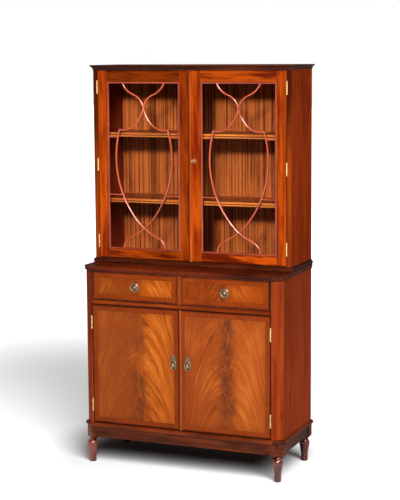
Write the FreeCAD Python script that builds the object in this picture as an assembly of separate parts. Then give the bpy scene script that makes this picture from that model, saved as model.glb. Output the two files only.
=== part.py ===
# Display cabinet in two parts: a glazed upper case on a deeper cupboard base with two drawers.
# Millimetres. The front faces -Y, +X is the viewer's right and +Z is up.
# The origin is on the floor, at the centre of the cabinet's overall width and depth.
import FreeCAD
import Part
import math
import os

Vector = FreeCAD.Vector

# Upper case and base, without their mouldings
upper_width = 964.0
upper_depth = 282.0
base_side_step = 1.0
base_depth = 422.0
corner_cant = 40.0

# Heights, from the floor up
leg_length = 105.0
block_drop = 22.5
apron_height = 45.0
plinth_bead_height = 21.0
base_case_height = 714.5
base_top_thickness = 21.0
upper_case_height = 889.0
cornice_height = 22.0

# Boards
upper_side_thickness = 20.0
upper_bottom_thickness = 20.0
base_side_thickness = 18.0
base_bottom_thickness = 18.0
dust_board_thickness = 18.0
back_panel_thickness = 6.0
back_panel_inset = 6.0
display_shelf_thickness = 20.0
cupboard_shelf_thickness = 18.0
shelf_end_clearance = 0.5
shelf_back_clearance = 1.0

# Mouldings: how far each stands out from the case behind it
cornice_projection = 13.0
waist_projection = 8.5
waist_height = 21.0
top_side_overhang = 6.0
top_front_overhang = 11.0
plinth_bead_projection = 13.0
plinth_bead_inset = 20.0
plinth_projection = 4.5

# Glazed doors
glazed_door_thickness = 22.0
glazed_top_gap = 1.5
glazed_bottom_gap = 3.0
door_edge_gap = 1.5
meeting_gap = 2.5
hinge_stile_width = 47.2
left_meeting_stile_width = 44.3
right_meeting_stile_width = 55.3
glazed_top_rail_width = 52.0
glazed_bottom_rail_width = 41.0
upper_meeting_offset = 5.5
sight_lip_thickness = 8.0
glass_thickness = 3.0
glass_rebate_width = 7.0
glass_edge_clearance = 0.5
sight_bead_width = 8.6
sight_bead_proud = 2.0
glazing_strip_depth = 9.0
tracery_bar_width = 7.6
tracery_bar_proud = 0.8
tracery_bar_bevel = 2.2
tie_bar_width = 6.0

# Display shelves: how far their tops lie from the middle of the glazed doors
upper_shelf_above_middle = 147.0
lower_shelf_below_middle = 157.0
display_shelf_setback = 25.0
shelf_reed_bulge = 2.5

# Cupboard doors and the face of the base
cupboard_door_thickness = 20.0
cupboard_bottom_gap = 5.5
cupboard_top_gap = 2.0
lower_meeting_offset = 0.5
post_return_width = 6.0
front_rail_height = 22.0
front_rail_arris = 2.5
drawer_opening_height = 133.0
divider_width = 18.0
guide_thickness = 7.5
guide_setback = 6.0
cupboard_shelf_rise = 262.0

# Meeting beads on the two right-hand doors
meeting_bead_width = 12.0
meeting_bead_proud = 8.0

# Drawers
drawer_front_thickness = 20.0
drawer_gap = 1.5
drawer_bottom_gap = 2.0
drawer_top_gap = 3.0
cockbead_width = 3.0
cockbead_proud = 2.5
drawer_side_thickness = 10.0
drawer_side_height = 102.0
drawer_bottom_thickness = 5.0
drawer_bottom_rise = 9.0
drawer_running_clearance = 0.3
drawer_back_room = 8.0

# Butt hinges
hinge_length = 60.0
knuckle_radius = 3.6
knuckle_face_gap = 0.4
knuckle_end_gap = 0.3
leaf_thickness = 1.5
leaf_depth = 18.0
leaf_clearance = 0.25
pin_radius = 1.5
pin_clearance = 0.05
pin_tip = 0.8
hinge_screw_radius = 1.4
hinge_screw_head_radius = 2.8
hinge_screw_length = 11.0
hinge_screw_spacing = 20.0
glazed_hinge_inset = 77.0
cupboard_hinge_inset = 82.0
hinge_knuckle_count = 5

# Ring pulls on the drawers
pull_plate_radius = 21.5
pull_plate_thickness = 1.6
pull_rim_width = 3.0
pull_boss_radius = 7.0
pull_boss_height = 8.5
ring_radius = 16.0
ring_wire_radius = 2.4
pull_seat_clearance = 0.3
eye_radius = 4.6
eye_half_width = 3.0
eye_bore_clearance = 0.7
pull_bolt_radius = 2.0

# Drop pulls on the cupboard doors
drop_plate_half_width = 16.5
drop_plate_half_height = 23.0
drop_boss_half_width = 7.5
drop_boss_half_height = 11.0
drop_boss_height = 7.5
drop_half_width = 14.0
drop_half_height = 20.5
drop_end_radius = 10.0
drop_wire_radius = 2.1
leaf_spray_height = 33.0
leaf_spray_petal_width = 7.5
leaf_spray_thickness = 3.0
drop_pull_inset = 28.0
drop_eye_height = 325.5

# Lock and key of the right-hand glazed door
key_inset = 25.0
key_above_middle = 28.0
key_shank_radius = 2.2
key_clearance = 0.05
key_hole_radius = 4.0
key_slot_clearance = 0.6
key_end_play = 0.3
key_bow_distance = 24.0
key_bow_half_height = 10.0
key_bow_half_width = 8.5
key_bow_thickness = 2.6
key_bow_rim = 3.0
key_bit_length = 3.0
key_bit_height = 5.5
key_bit_thickness = 2.0
key_tip_length = 2.0
escutcheon_radius = 10.0
escutcheon_drop = 2.5
escutcheon_thickness = 1.2
lock_width = 34.0
lock_height = 45.0
lock_depth = 11.0
lock_wall = 1.5
bolt_width = 10.0
bolt_height = 12.0
bolt_thickness = 3.0

# Door catches and their strike plates
catch_width = 40.0
catch_depth = 12.0
catch_height = 14.0
strike_width = 30.0
strike_height = 12.0
strike_thickness = 1.2
catch_gap = 0.4
catch_inset = 60.0

# Shelf studs, joining screws
stud_radius = 3.0
stud_reach = 9.0
stud_end_inset = 45.0
joining_screw_radius = 2.5
joining_screw_head_radius = 5.0
joining_screw_head_height = 3.0
joining_screw_length = 32.0
joining_screw_inset = 60.0

# Plinth blocks, aprons and legs
front_block_width = 54.0
front_block_depth = 62.0
rear_block_depth = 40.0
block_bevel = 12.5
apron_thickness = 20.0
apron_notch_length = 23.0
apron_notch_depth = 14.0
leg_shoulder_radius = 24.0
leg_top_radius = 14.5
leg_ankle_radius = 14.6
leg_foot_radius = 15.4
leg_sole_radius = 12.5
leg_foot_height = 24.0
leg_ring_height = 5.0
leg_dome_height = 20.0
leg_sole_round = 4.0
leg_tenon_radius = 11.0
leg_tenon_length = 30.0
front_leg_side_inset = 29.0
front_leg_front_inset = 34.0
rear_leg_side_inset = 27.0
rear_leg_back_inset = 25.0

# One overrun for every cutting tool
overrun = 2.0

# Levels
apron_bottom_z = leg_length + block_drop
plinth_bead_z = apron_bottom_z + apron_height
base_bottom_z = plinth_bead_z + plinth_bead_height
base_top_z = base_bottom_z + base_case_height
board_top_z = base_top_z + base_top_thickness
upper_top_z = board_top_z + upper_case_height
total_height = upper_top_z + cornice_height
upper_floor_z = board_top_z + upper_bottom_thickness
rail_top_z = base_top_z - drawer_opening_height
rail_bottom_z = rail_top_z - front_rail_height

# Depths: the back of the case, its two fronts, and how far the pulls reach forward
ring_standoff = pull_plate_thickness + pull_rim_width / 2 + pull_seat_clearance + ring_wire_radius
pull_reach = ring_standoff + eye_radius
front_reach = max(plinth_bead_projection, pull_reach)
back_y = (base_depth + front_reach) / 2
base_front_y = back_y - base_depth
upper_front_y = back_y - upper_depth
panel_front_y = back_y - back_panel_inset - back_panel_thickness
glazed_back_y = upper_front_y + glazed_door_thickness
cupboard_back_y = base_front_y + cupboard_door_thickness
post_back_y = base_front_y + corner_cant

# Half widths of the openings that the doors and drawers fill
upper_half = upper_width / 2
base_half = upper_half + base_side_step
upper_inner = upper_half - upper_side_thickness
base_inner = base_half - base_side_thickness
post_inner = base_half - corner_cant - post_return_width
guide_inner = post_inner - guide_thickness
pin_forward = knuckle_radius + knuckle_face_gap


# General shapes

def slab(xs, ys, zs):
    """Box between two places on each axis, given in either order."""
    x_low, x_high = sorted(xs)
    y_low, y_high = sorted(ys)
    z_low, z_high = sorted(zs)
    corner = Vector(x_low, y_low, z_low)
    return Part.makeBox(x_high - x_low, y_high - y_low, z_high - z_low, corner)


def rod(start, direction, radius, length):
    """Round bar from a point along a direction."""
    return Part.makeCylinder(radius, length, start, direction)


def closed_face(edges):
    """Flat face inside a closed run of edges."""
    return Part.Face(Part.Wire(Part.__sortEdges__(edges)))


def line(start, end):
    return Part.LineSegment(start, end).toShape()


def arc(start, middle, end):
    return Part.Arc(start, middle, end).toShape()


def polygon_face(points):
    return Part.Face(Part.makePolygon(points + points[:1]))


def bowed(start, end, bow_share):
    """Arc in the XZ plane that stands off its chord by a share of it, to the right of its way."""
    chord = end - start
    return arc(start, (start + end) / 2 + Vector(chord.z, 0, -chord.x) * bow_share, end)


def profile_face(corners):
    """Face in the XZ plane. Each corner is x, z and the bow of the edge that follows, zero if straight."""
    edges = []
    for (x0, z0, bow_share), (x1, z1, _) in zip(corners, corners[1:] + corners[:1]):
        start = Vector(x0, 0, z0)
        end = Vector(x1, 0, z1)
        edges.append(bowed(start, end, bow_share) if bow_share else line(start, end))
    return closed_face(edges)


def plan_prism(outline, z_low, z_high):
    """Upright prism over a plan outline."""
    points = [Vector(x, y, z_low) for x, y in outline]
    return polygon_face(points).extrude(Vector(0, 0, z_high - z_low))


def joined(shapes):
    """One solid from pieces that touch or overlap."""
    whole = shapes[0].fuse(shapes[1:]) if len(shapes) > 1 else shapes[0]
    return whole.removeSplitter()


def without(shape, tools):
    return shape.cut(tools) if tools else shape


def group(shapes):
    """Separate solids kept side by side in one node."""
    solids = []
    for shape in shapes:
        solids.extend(shape.Solids)
    return Part.makeCompound(solids)


# Mouldings that run round the sides and front with mitred corners

def offset_path(path, distance):
    """Open plan path moved outwards, to the right of its direction."""
    normals = []
    for (x0, y0), (x1, y1) in zip(path, path[1:]):
        length = math.hypot(x1 - x0, y1 - y0)
        normals.append(((y1 - y0) / length, (x0 - x1) / length))
    moved = []
    for index, (x, y) in enumerate(path):
        before = normals[max(index - 1, 0)]
        after = normals[min(index, len(normals) - 1)]
        scale = distance / (1 + before[0] * after[0] + before[1] * after[1])
        moved.append((x + (before[0] + after[0]) * scale, y + (before[1] + after[1]) * scale))
    return moved


def mitred_runs(path, profile, reach, inset):
    """One mitred length of moulding for each stretch of the path.

    The profile is a face in the XZ plane, with X pointing out of the case.
    """
    inner = offset_path(path, -inset - overrun)
    outer = offset_path(path, reach + overrun)
    spare = reach + inset + overrun
    box = profile.BoundBox
    runs = []
    for index in range(len(path) - 1):
        start, end = path[index], path[index + 1]
        length = math.hypot(end[0] - start[0], end[1] - start[1])
        run = profile.extrude(Vector(0, length + 2 * spare, 0))
        run.translate(Vector(0, -spare, 0))
        turn = math.degrees(math.atan2(start[0] - end[0], end[1] - start[1]))
        run.rotate(Vector(0, 0, 0), Vector(0, 0, 1), turn)
        run.translate(Vector(start[0], start[1], 0))
        corners = [inner[index], outer[index], outer[index + 1], inner[index + 1]]
        mitre = plan_prism(corners, box.ZMin - overrun, box.ZMax + overrun)
        runs.append(run.common(mitre))
    return runs


def square_path(half_width, front_y):
    """Round a case with square corners, from the back left to the back right."""
    return [(-half_width, back_y), (-half_width, front_y), (half_width, front_y), (half_width, back_y)]


def canted_path(half_width, front_y, cant):
    """Round a case with canted front corners, from the back left to the back right."""
    return [
        (-half_width, back_y),
        (-half_width, front_y + cant),
        (-half_width + cant, front_y),
        (half_width - cant, front_y),
        (half_width, front_y + cant),
        (half_width, back_y),
    ]


# Bars that lie in the plane of a door

def round_section(place, width, back, front):
    """Flat back and sides, half-round front. place maps (across, depth) to a point."""
    half = width / 2
    back_left = place(-half, back)
    back_right = place(half, back)
    side_left = place(-half, front + half)
    side_right = place(half, front + half)
    edges = [
        line(back_left, back_right),
        line(back_right, side_right),
        arc(side_right, place(0, front), side_left),
        line(side_left, back_left),
    ]
    return closed_face(edges)


def bevelled_section(place, width, back, front):
    """Flat back and sides, front bevelled along both arrises."""
    half = width / 2
    nose = half - tracery_bar_bevel
    shoulder = front + tracery_bar_bevel
    right_side = [(half, back), (half, shoulder), (nose, front)]
    left_side = [(-nose, front), (-half, shoulder), (-half, back)]
    return polygon_face([place(across, depth) for across, depth in right_side + left_side])


def upright_bar(section, x, z_low, z_high, width, back, front):
    def place(across, depth):
        return Vector(x + across, depth, z_low)
    return section(place, width, back, front).extrude(Vector(0, 0, z_high - z_low))


def level_bar(section, x_low, x_high, z, width, back, front):
    def place(across, depth):
        return Vector(x_low, depth, z + across)
    return section(place, width, back, front).extrude(Vector(x_high - x_low, 0, 0))


def door_plane_prism(outline, y_low, y_high):
    """Prism over an outline drawn on the face of a door."""
    points = [Vector(x, y_low, z) for x, z in outline]
    return polygon_face(points).extrude(Vector(0, y_high - y_low, 0))


# Butt hinges

def knuckle_span(z_middle, index):
    """Height range of one knuckle, counted from the bottom."""
    pitch = hinge_length / hinge_knuckle_count
    z_low = z_middle - hinge_length / 2 + index * pitch
    return z_low + knuckle_end_gap / 2, z_low + pitch - knuckle_end_gap / 2


def screw_heights(z_middle):
    return [z_middle - hinge_screw_spacing, z_middle, z_middle + hinge_screw_spacing]


def hinge_screw(axis_x, face_y, z, toward, reach):
    """Countersunk screw through a leaf, driven towards +X or -X."""
    start = Vector(axis_x + toward * leaf_clearance, face_y + leaf_depth / 2, z)
    direction = Vector(toward, 0, 0)
    head = Part.makeCone(hinge_screw_head_radius, hinge_screw_radius, leaf_thickness, start, direction)
    shank = rod(start, direction, hinge_screw_radius, reach)
    return joined([head, shank])


def hinge_leaf(axis_x, face_y, z_middle, toward, first_knuckle, bore_radius):
    """One leaf with every second knuckle; toward points to the wood it is let into."""
    axis_y = face_y - pin_forward
    near_x = axis_x + toward * leaf_clearance
    far_x = near_x + toward * leaf_thickness
    z_range = (z_middle - hinge_length / 2, z_middle + hinge_length / 2)
    pieces = [slab((near_x, far_x), (face_y, face_y + leaf_depth), z_range)]
    for index in range(first_knuckle, hinge_knuckle_count, 2):
        z_low, z_high = knuckle_span(z_middle, index)
        barrel_foot = Vector(axis_x, axis_y, z_low)
        pieces.append(rod(barrel_foot, Vector(0, 0, 1), knuckle_radius, z_high - z_low))
        pieces.append(slab((near_x, far_x), (axis_y, face_y + leaf_depth / 2), (z_low, z_high)))
    leaf = joined(pieces)
    bore_foot = Vector(axis_x, axis_y, z_range[0] - overrun)
    bore = rod(bore_foot, Vector(0, 0, 1), bore_radius, hinge_length + 2 * overrun)
    screws = [hinge_screw(axis_x, face_y, z, toward, hinge_screw_length) for z in screw_heights(z_middle)]
    return without(leaf, [bore] + screws), screws


def hinge_pin(axis_x, face_y, z_middle):
    foot = Vector(axis_x, face_y - pin_forward, z_middle - hinge_length / 2 - pin_tip)
    return rod(foot, Vector(0, 0, 1), pin_radius, hinge_length + 2 * pin_tip)


def hinge_recess(axis_x, face_y, z_middle, toward):
    """Cuts for the leaf and its screws in the wood on one side of the joint."""
    depth = leaf_clearance + leaf_thickness
    z_range = (z_middle - hinge_length / 2, z_middle + hinge_length / 2)
    ys = (face_y - overrun, face_y + leaf_depth)
    tools = [slab((axis_x, axis_x + toward * depth), ys, z_range)]
    for z in screw_heights(z_middle):
        start = Vector(axis_x, face_y + leaf_depth / 2, z)
        reach = leaf_clearance + hinge_screw_length
        tools.append(rod(start, Vector(toward, 0, 0), hinge_screw_radius, reach))
    return tools


class Hanging:
    """The hinges of one door: where the pins stand and which way the door lies."""

    def __init__(self, side, opening_half, face_y, heights):
        self.axis_x = side * (opening_half - door_edge_gap / 2)
        self.door_way = -side
        self.case_way = side
        self.face_y = face_y
        self.heights = heights

    def case_leaves(self):
        solids = []
        for z in self.heights:
            leaf, screws = hinge_leaf(self.axis_x, self.face_y, z, self.case_way, 0, pin_radius)
            solids.extend([leaf] + screws)
        return solids

    def door_leaves(self):
        solids = []
        bore = pin_radius + pin_clearance
        for z in self.heights:
            leaf, screws = hinge_leaf(self.axis_x, self.face_y, z, self.door_way, 1, bore)
            solids.extend([leaf] + screws)
        return solids

    def pins(self):
        return [hinge_pin(self.axis_x, self.face_y, z) for z in self.heights]

    def case_recesses(self):
        return self.recesses(self.case_way)

    def door_recesses(self):
        return self.recesses(self.door_way)

    def recesses(self, way):
        tools = []
        for z in self.heights:
            tools.extend(hinge_recess(self.axis_x, self.face_y, z, way))
        return tools


glazed_low_z = upper_floor_z + glazed_bottom_gap
glazed_high_z = upper_top_z - glazed_top_gap
glazed_middle_z = (glazed_low_z + glazed_high_z) / 2
glazed_hinge_heights = [glazed_low_z + glazed_hinge_inset, glazed_middle_z,
                        glazed_high_z - glazed_hinge_inset]
cupboard_low_z = base_bottom_z + cupboard_bottom_gap
cupboard_high_z = rail_bottom_z - cupboard_top_gap
cupboard_hinge_heights = [cupboard_low_z + cupboard_hinge_inset, cupboard_high_z - cupboard_hinge_inset]

glazed_hangings = {
    side: Hanging(side, upper_inner, upper_front_y, glazed_hinge_heights) for side in (-1, 1)
}
cupboard_hangings = {
    side: Hanging(side, post_inner, base_front_y, cupboard_hinge_heights) for side in (-1, 1)
}


# Shelf studs

display_shelf_tops = [
    glazed_middle_z - lower_shelf_below_middle,
    glazed_middle_z + upper_shelf_above_middle,
]
cupboard_shelf_top = base_bottom_z + base_bottom_thickness + cupboard_shelf_rise
display_shelf_front = upper_front_y + display_shelf_setback
cupboard_shelf_front = post_back_y + shelf_back_clearance


def stud_places(inner, shelf_tops, thickness, shelf_front):
    """Face, depth and height of each stud: two at each end of every shelf."""
    places = []
    for top in shelf_tops:
        z = top - thickness - stud_radius
        for y in (shelf_front + stud_end_inset, panel_front_y - stud_end_inset):
            places.append((inner, y, z))
    return places


display_studs = stud_places(upper_inner, display_shelf_tops, display_shelf_thickness, display_shelf_front)
cupboard_studs = stud_places(base_inner, [cupboard_shelf_top], cupboard_shelf_thickness,
                             cupboard_shelf_front)


def stud(side, place):
    inner, y, z = place
    start = Vector(side * (inner - stud_reach), y, z)
    return rod(start, Vector(side, 0, 0), stud_radius, 2 * stud_reach)


def stud_holes(side, places):
    return [stud(side, place) for place in places]


def shelf_studs():
    return group([stud(side, place) for side in (-1, 1) for place in display_studs + cupboard_studs])


# Upper case

half_round_share = 0.5


def cornice():
    """Flaring moulding round the top: a small quirk, a cove and a square fillet."""
    quirk_share = 0.12
    fillet_share = 0.28
    cove_bow_share = 0.13
    foot = cornice_projection * quirk_share
    brow = total_height - cornice_height * fillet_share
    profile = profile_face([
        (0, upper_top_z, 0),
        (foot, upper_top_z, -cove_bow_share),
        (cornice_projection - foot, brow, 0),
        (cornice_projection, brow, 0),
        (cornice_projection, total_height, 0),
        (0, total_height, 0),
    ])
    return group(mitred_runs(square_path(upper_half, upper_front_y), profile, cornice_projection, 0))


def waist_moulding():
    """Moulding round the foot of the upper case: a small bead, an ovolo and an upright face."""
    bead_share = 0.2
    bead_foot_share = 0.12
    step_share = 0.35
    shoulder_share = 0.56
    ovolo_bow_share = 0.14
    toe_share = 0.12
    top = board_top_z + waist_height
    bead_x = waist_projection * bead_foot_share
    bead_low = top - waist_height * bead_share
    toe = waist_height * toe_share
    profile = profile_face([
        (0, board_top_z, 0),
        (waist_projection - toe, board_top_z, 0),
        (waist_projection, board_top_z + toe, 0),
        (waist_projection, board_top_z + waist_height * shoulder_share, ovolo_bow_share),
        (waist_projection * step_share, bead_low, 0),
        (bead_x, bead_low, half_round_share),
        (bead_x, top, 0),
        (0, top, 0),
    ])
    return group(mitred_runs(square_path(upper_half, upper_front_y), profile, waist_projection, 0))


def upper_top_board():
    return slab((-upper_half, upper_half), (upper_front_y, back_y), (upper_top_z, total_height))


def upper_side(side):
    board = slab((side * upper_inner, side * upper_half), (upper_front_y, back_y),
                 (board_top_z, upper_top_z))
    tools = glazed_hangings[side].case_recesses() + stud_holes(side, display_studs)
    return without(board, tools)


def joining_screw_places():
    x = upper_inner - joining_screw_inset
    ys = (upper_front_y + joining_screw_inset, panel_front_y - joining_screw_inset)
    return [(way * x, y) for way in (-1, 1) for y in ys]


def joining_screw(place):
    """Countersunk screw down through the upper case's floor into the base's top."""
    top = Vector(place[0], place[1], upper_floor_z)
    down = Vector(0, 0, -1)
    head = Part.makeCone(joining_screw_head_radius, joining_screw_radius, joining_screw_head_height,
                         top, down)
    return joined([head, rod(top, down, joining_screw_radius, joining_screw_length)])


def joining_screws():
    return group([joining_screw(place) for place in joining_screw_places()])


def upper_bottom_board():
    board = slab((-upper_inner, upper_inner), (upper_front_y, panel_front_y), (board_top_z, upper_floor_z))
    return without(board, [joining_screw(place) for place in joining_screw_places()])


def upper_back_panel():
    return slab((-upper_inner, upper_inner), (panel_front_y, panel_front_y + back_panel_thickness),
                (board_top_z, upper_top_z))


def display_shelf(top):
    """Shelf whose front edge is worked into two reeds."""
    upper_reed_share = 0.6
    reed_bow_share = 0.26
    bottom = top - display_shelf_thickness
    groove = top - display_shelf_thickness * upper_reed_share
    front = display_shelf_front + shelf_reed_bulge
    depth = panel_front_y - shelf_back_clearance - front
    half = upper_inner - shelf_end_clearance
    profile = profile_face([
        (-depth, bottom, 0),
        (0, bottom, reed_bow_share),
        (0, groove, reed_bow_share),
        (0, top, 0),
        (-depth, top, 0),
    ])
    return mitred_runs([(-half, front), (half, front)], profile, shelf_reed_bulge, depth)[0]


def display_shelves():
    return group([display_shelf(top) for top in display_shelf_tops])


# Base

def base_top_board():
    """Board with canted corners and a moulded edge: a rounded nose, a cove and a small bead."""
    nose_share = 0.24
    nose_bow_share = 0.2
    face_share = 0.5
    cove_share = 0.72
    cove_depth_share = 0.4
    cove_bow_share = 0.3
    bead_bow_share = 0.3
    reach = top_side_overhang
    nose = base_top_thickness * nose_share
    cove_z = board_top_z - base_top_thickness * cove_share
    cove_x = reach * (1 - cove_depth_share)
    profile = profile_face([
        (-nose, base_top_z, 0),
        (cove_x, base_top_z, bead_bow_share),
        (cove_x, cove_z, -cove_bow_share),
        (reach, board_top_z - base_top_thickness * face_share, 0),
        (reach, board_top_z - nose, nose_bow_share),
        (reach - nose, board_top_z, 0),
        (-nose, board_top_z, 0),
    ])
    front = base_front_y - top_front_overhang + top_side_overhang
    path = canted_path(base_half, front, corner_cant)
    edge = mitred_runs(path, profile, reach, nose)
    core = plan_prism(offset_path(path, -nose / 2), base_top_z, board_top_z)
    board = joined([core] + edge)
    return without(board, [joining_screw(place) for place in joining_screw_places()])


def base_side(side):
    board = slab((side * base_inner, side * base_half), (post_back_y, back_y), (base_bottom_z, base_top_z))
    return without(board, stud_holes(side, cupboard_studs))


def corner_post(side):
    """Canted pilaster at the front corner, with a narrow return beside the door."""
    outline = [
        (side * post_inner, base_front_y),
        (side * (base_half - corner_cant), base_front_y),
        (side * base_half, post_back_y),
        (side * post_inner, post_back_y),
    ]
    post = plan_prism(outline, base_bottom_z, base_top_z)
    return without(post, cupboard_hangings[side].case_recesses())


def base_back_panel():
    return slab((-base_inner, base_inner), (panel_front_y, panel_front_y + back_panel_thickness),
                (base_bottom_z, base_top_z))


def base_bottom_board():
    """Cupboard floor; its front edge stands behind the doors, between the posts."""
    zs = (base_bottom_z, base_bottom_z + base_bottom_thickness)
    floor = slab((-base_inner, base_inner), (post_back_y, panel_front_y), zs)
    front = slab((-post_inner, post_inner), (cupboard_back_y, post_back_y), zs)
    return joined([floor, front])


def front_rail():
    """Rail between the drawers and the doors, with softened front arrises."""
    rail = slab((-post_inner, post_inner), (base_front_y, post_back_y), (rail_bottom_z, rail_top_z))
    long_edges = []
    for edge in rail.Edges:
        box = edge.BoundBox
        if box.XLength > post_inner and box.YMax < base_front_y + overrun:
            long_edges.append(edge)
    return rail.makeFillet(front_rail_arris, long_edges)


def drawer_divider():
    half = divider_width / 2
    return slab((-half, half), (base_front_y, panel_front_y), (rail_top_z, base_top_z))


def dust_board():
    return slab((-base_inner, base_inner), (post_back_y, panel_front_y),
                (rail_top_z - dust_board_thickness, rail_top_z))


def drawer_guide(side):
    """Thin cheek that keeps a drawer straight and closes the space beside the post."""
    return slab((side * guide_inner, side * post_inner), (base_front_y + guide_setback, panel_front_y),
                (rail_top_z, base_top_z))


def cupboard_shelf():
    half = base_inner - shelf_end_clearance
    back = panel_front_y - shelf_back_clearance
    return slab((-half, half), (cupboard_shelf_front, back),
                (cupboard_shelf_top - cupboard_shelf_thickness, cupboard_shelf_top))


# Plinth and legs

plinth_half = base_half + plinth_projection
plinth_front_y = base_front_y - plinth_projection


def plinth_moulding():
    """Bold half-round moulding under the case, mitred round the canted corners, and its back rail."""
    round_x = plinth_bead_projection - plinth_bead_height / 2
    profile = profile_face([
        (-plinth_bead_inset, plinth_bead_z, 0),
        (round_x, plinth_bead_z, half_round_share),
        (round_x, base_bottom_z, 0),
        (-plinth_bead_inset, base_bottom_z, 0),
    ])
    path = canted_path(base_half, base_front_y, corner_cant)
    runs = mitred_runs(path, profile, plinth_bead_projection, plinth_bead_inset)
    inside = base_half - plinth_bead_inset
    rear = slab((-inside, inside), (back_y - plinth_bead_inset, back_y), (plinth_bead_z, base_bottom_z))
    return group(runs + [rear])


def block_outline(side, front):
    """Plan of a corner block, anticlockwise seen from above on the right-hand side."""
    outer = plinth_half
    inner = plinth_half - front_block_width
    if front:
        rear = plinth_front_y + front_block_depth
        corners = [(inner, plinth_front_y), (outer - corner_cant, plinth_front_y),
                   (outer, plinth_front_y + corner_cant), (outer, rear), (inner, rear)]
    else:
        corners = [(inner, back_y - rear_block_depth), (outer, back_y - rear_block_depth),
                   (outer, back_y), (inner, back_y)]
    return [(side * x, y) for x, y in corners]


def under_bevel(start, end, centre, size, z):
    """Wedge that bevels the underside of a block along one edge of its plan."""
    along = Vector(end[0] - start[0], end[1] - start[1], 0)
    along.normalize()
    outward = Vector(along.y, -along.x, 0)
    middle = Vector((start[0] + end[0]) / 2, (start[1] + end[1]) / 2, z)
    if (middle - centre).dot(outward) < 0:
        outward = outward * -1
    spread = front_block_width + front_block_depth
    foot = middle - along * spread - Vector(0, 0, overrun)
    deep = foot - outward * (size + overrun)
    wide = foot + outward * overrun
    high = wide + Vector(0, 0, size + 3 * overrun)
    return polygon_face([deep, wide, high]).extrude(along * (2 * spread))


def leg_place(side, front):
    if front:
        return side * (plinth_half - front_leg_side_inset), plinth_front_y + front_leg_front_inset
    return side * (plinth_half - rear_leg_side_inset), back_y - rear_leg_back_inset


def corner_block(side, front):
    """Block between leg and plinth, bevelled all round underneath and bored for the leg's tenon."""
    outline = block_outline(side, front)
    block = plan_prism(outline, leg_length, plinth_bead_z)
    centre_x = sum(x for x, y in outline) / len(outline)
    centre_y = sum(y for x, y in outline) / len(outline)
    centre = Vector(centre_x, centre_y, leg_length)
    edges = zip(outline, outline[1:] + outline[:1])
    wedges = [under_bevel(start, end, centre, block_bevel, leg_length) for start, end in edges]
    x, y = leg_place(side, front)
    socket = rod(Vector(x, y, leg_length), Vector(0, 0, 1), leg_tenon_radius, leg_tenon_length)
    return without(block, wedges + [socket])


def corner_blocks():
    return group([corner_block(side, front) for side in (-1, 1) for front in (True, False)])


def side_apron(side):
    """Side board of the plinth, with an upright notch in front of the rear block."""
    front = plinth_front_y + front_block_depth
    rear = back_y - rear_block_depth
    outer = side * plinth_half
    board = slab((outer, outer - side * apron_thickness), (front, rear), (apron_bottom_z, plinth_bead_z))
    notch = slab((outer + side * overrun, outer - side * apron_notch_depth),
                 (rear - apron_notch_length, rear + overrun),
                 (apron_bottom_z - overrun, plinth_bead_z - overrun))
    return without(board, [notch])


def aprons():
    inner = plinth_half - front_block_width
    front = slab((-inner, inner), (plinth_front_y, plinth_front_y + apron_thickness),
                 (apron_bottom_z, plinth_bead_z))
    return group([front, side_apron(-1), side_apron(1)])


def turned_leg(side, front):
    """Turned leg: domed shoulder, long taper, a ring at the ankle and a small foot."""
    sole_bow_share = 0.18
    foot_bow_share = 0.05
    ring_bow_share = 0.35
    dome_bow_share = 0.11
    ankle_z = leg_foot_height + leg_ring_height
    tenon_top = leg_length + leg_tenon_length
    profile = profile_face([
        (0, 0, 0),
        (leg_sole_radius, 0, sole_bow_share),
        (leg_foot_radius, leg_sole_round, foot_bow_share),
        (leg_ankle_radius, leg_foot_height, ring_bow_share),
        (leg_ankle_radius, ankle_z, 0),
        (leg_shoulder_radius, leg_length - leg_dome_height, dome_bow_share),
        (leg_top_radius, leg_length, 0),
        (leg_tenon_radius, leg_length, 0),
        (leg_tenon_radius, tenon_top, 0),
        (0, tenon_top, 0),
    ])
    leg = profile.revolve(Vector(0, 0, 0), Vector(0, 0, 1), 360)
    x, y = leg_place(side, front)
    leg.translate(Vector(x, y, 0))
    return leg


# Glazed doors

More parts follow.
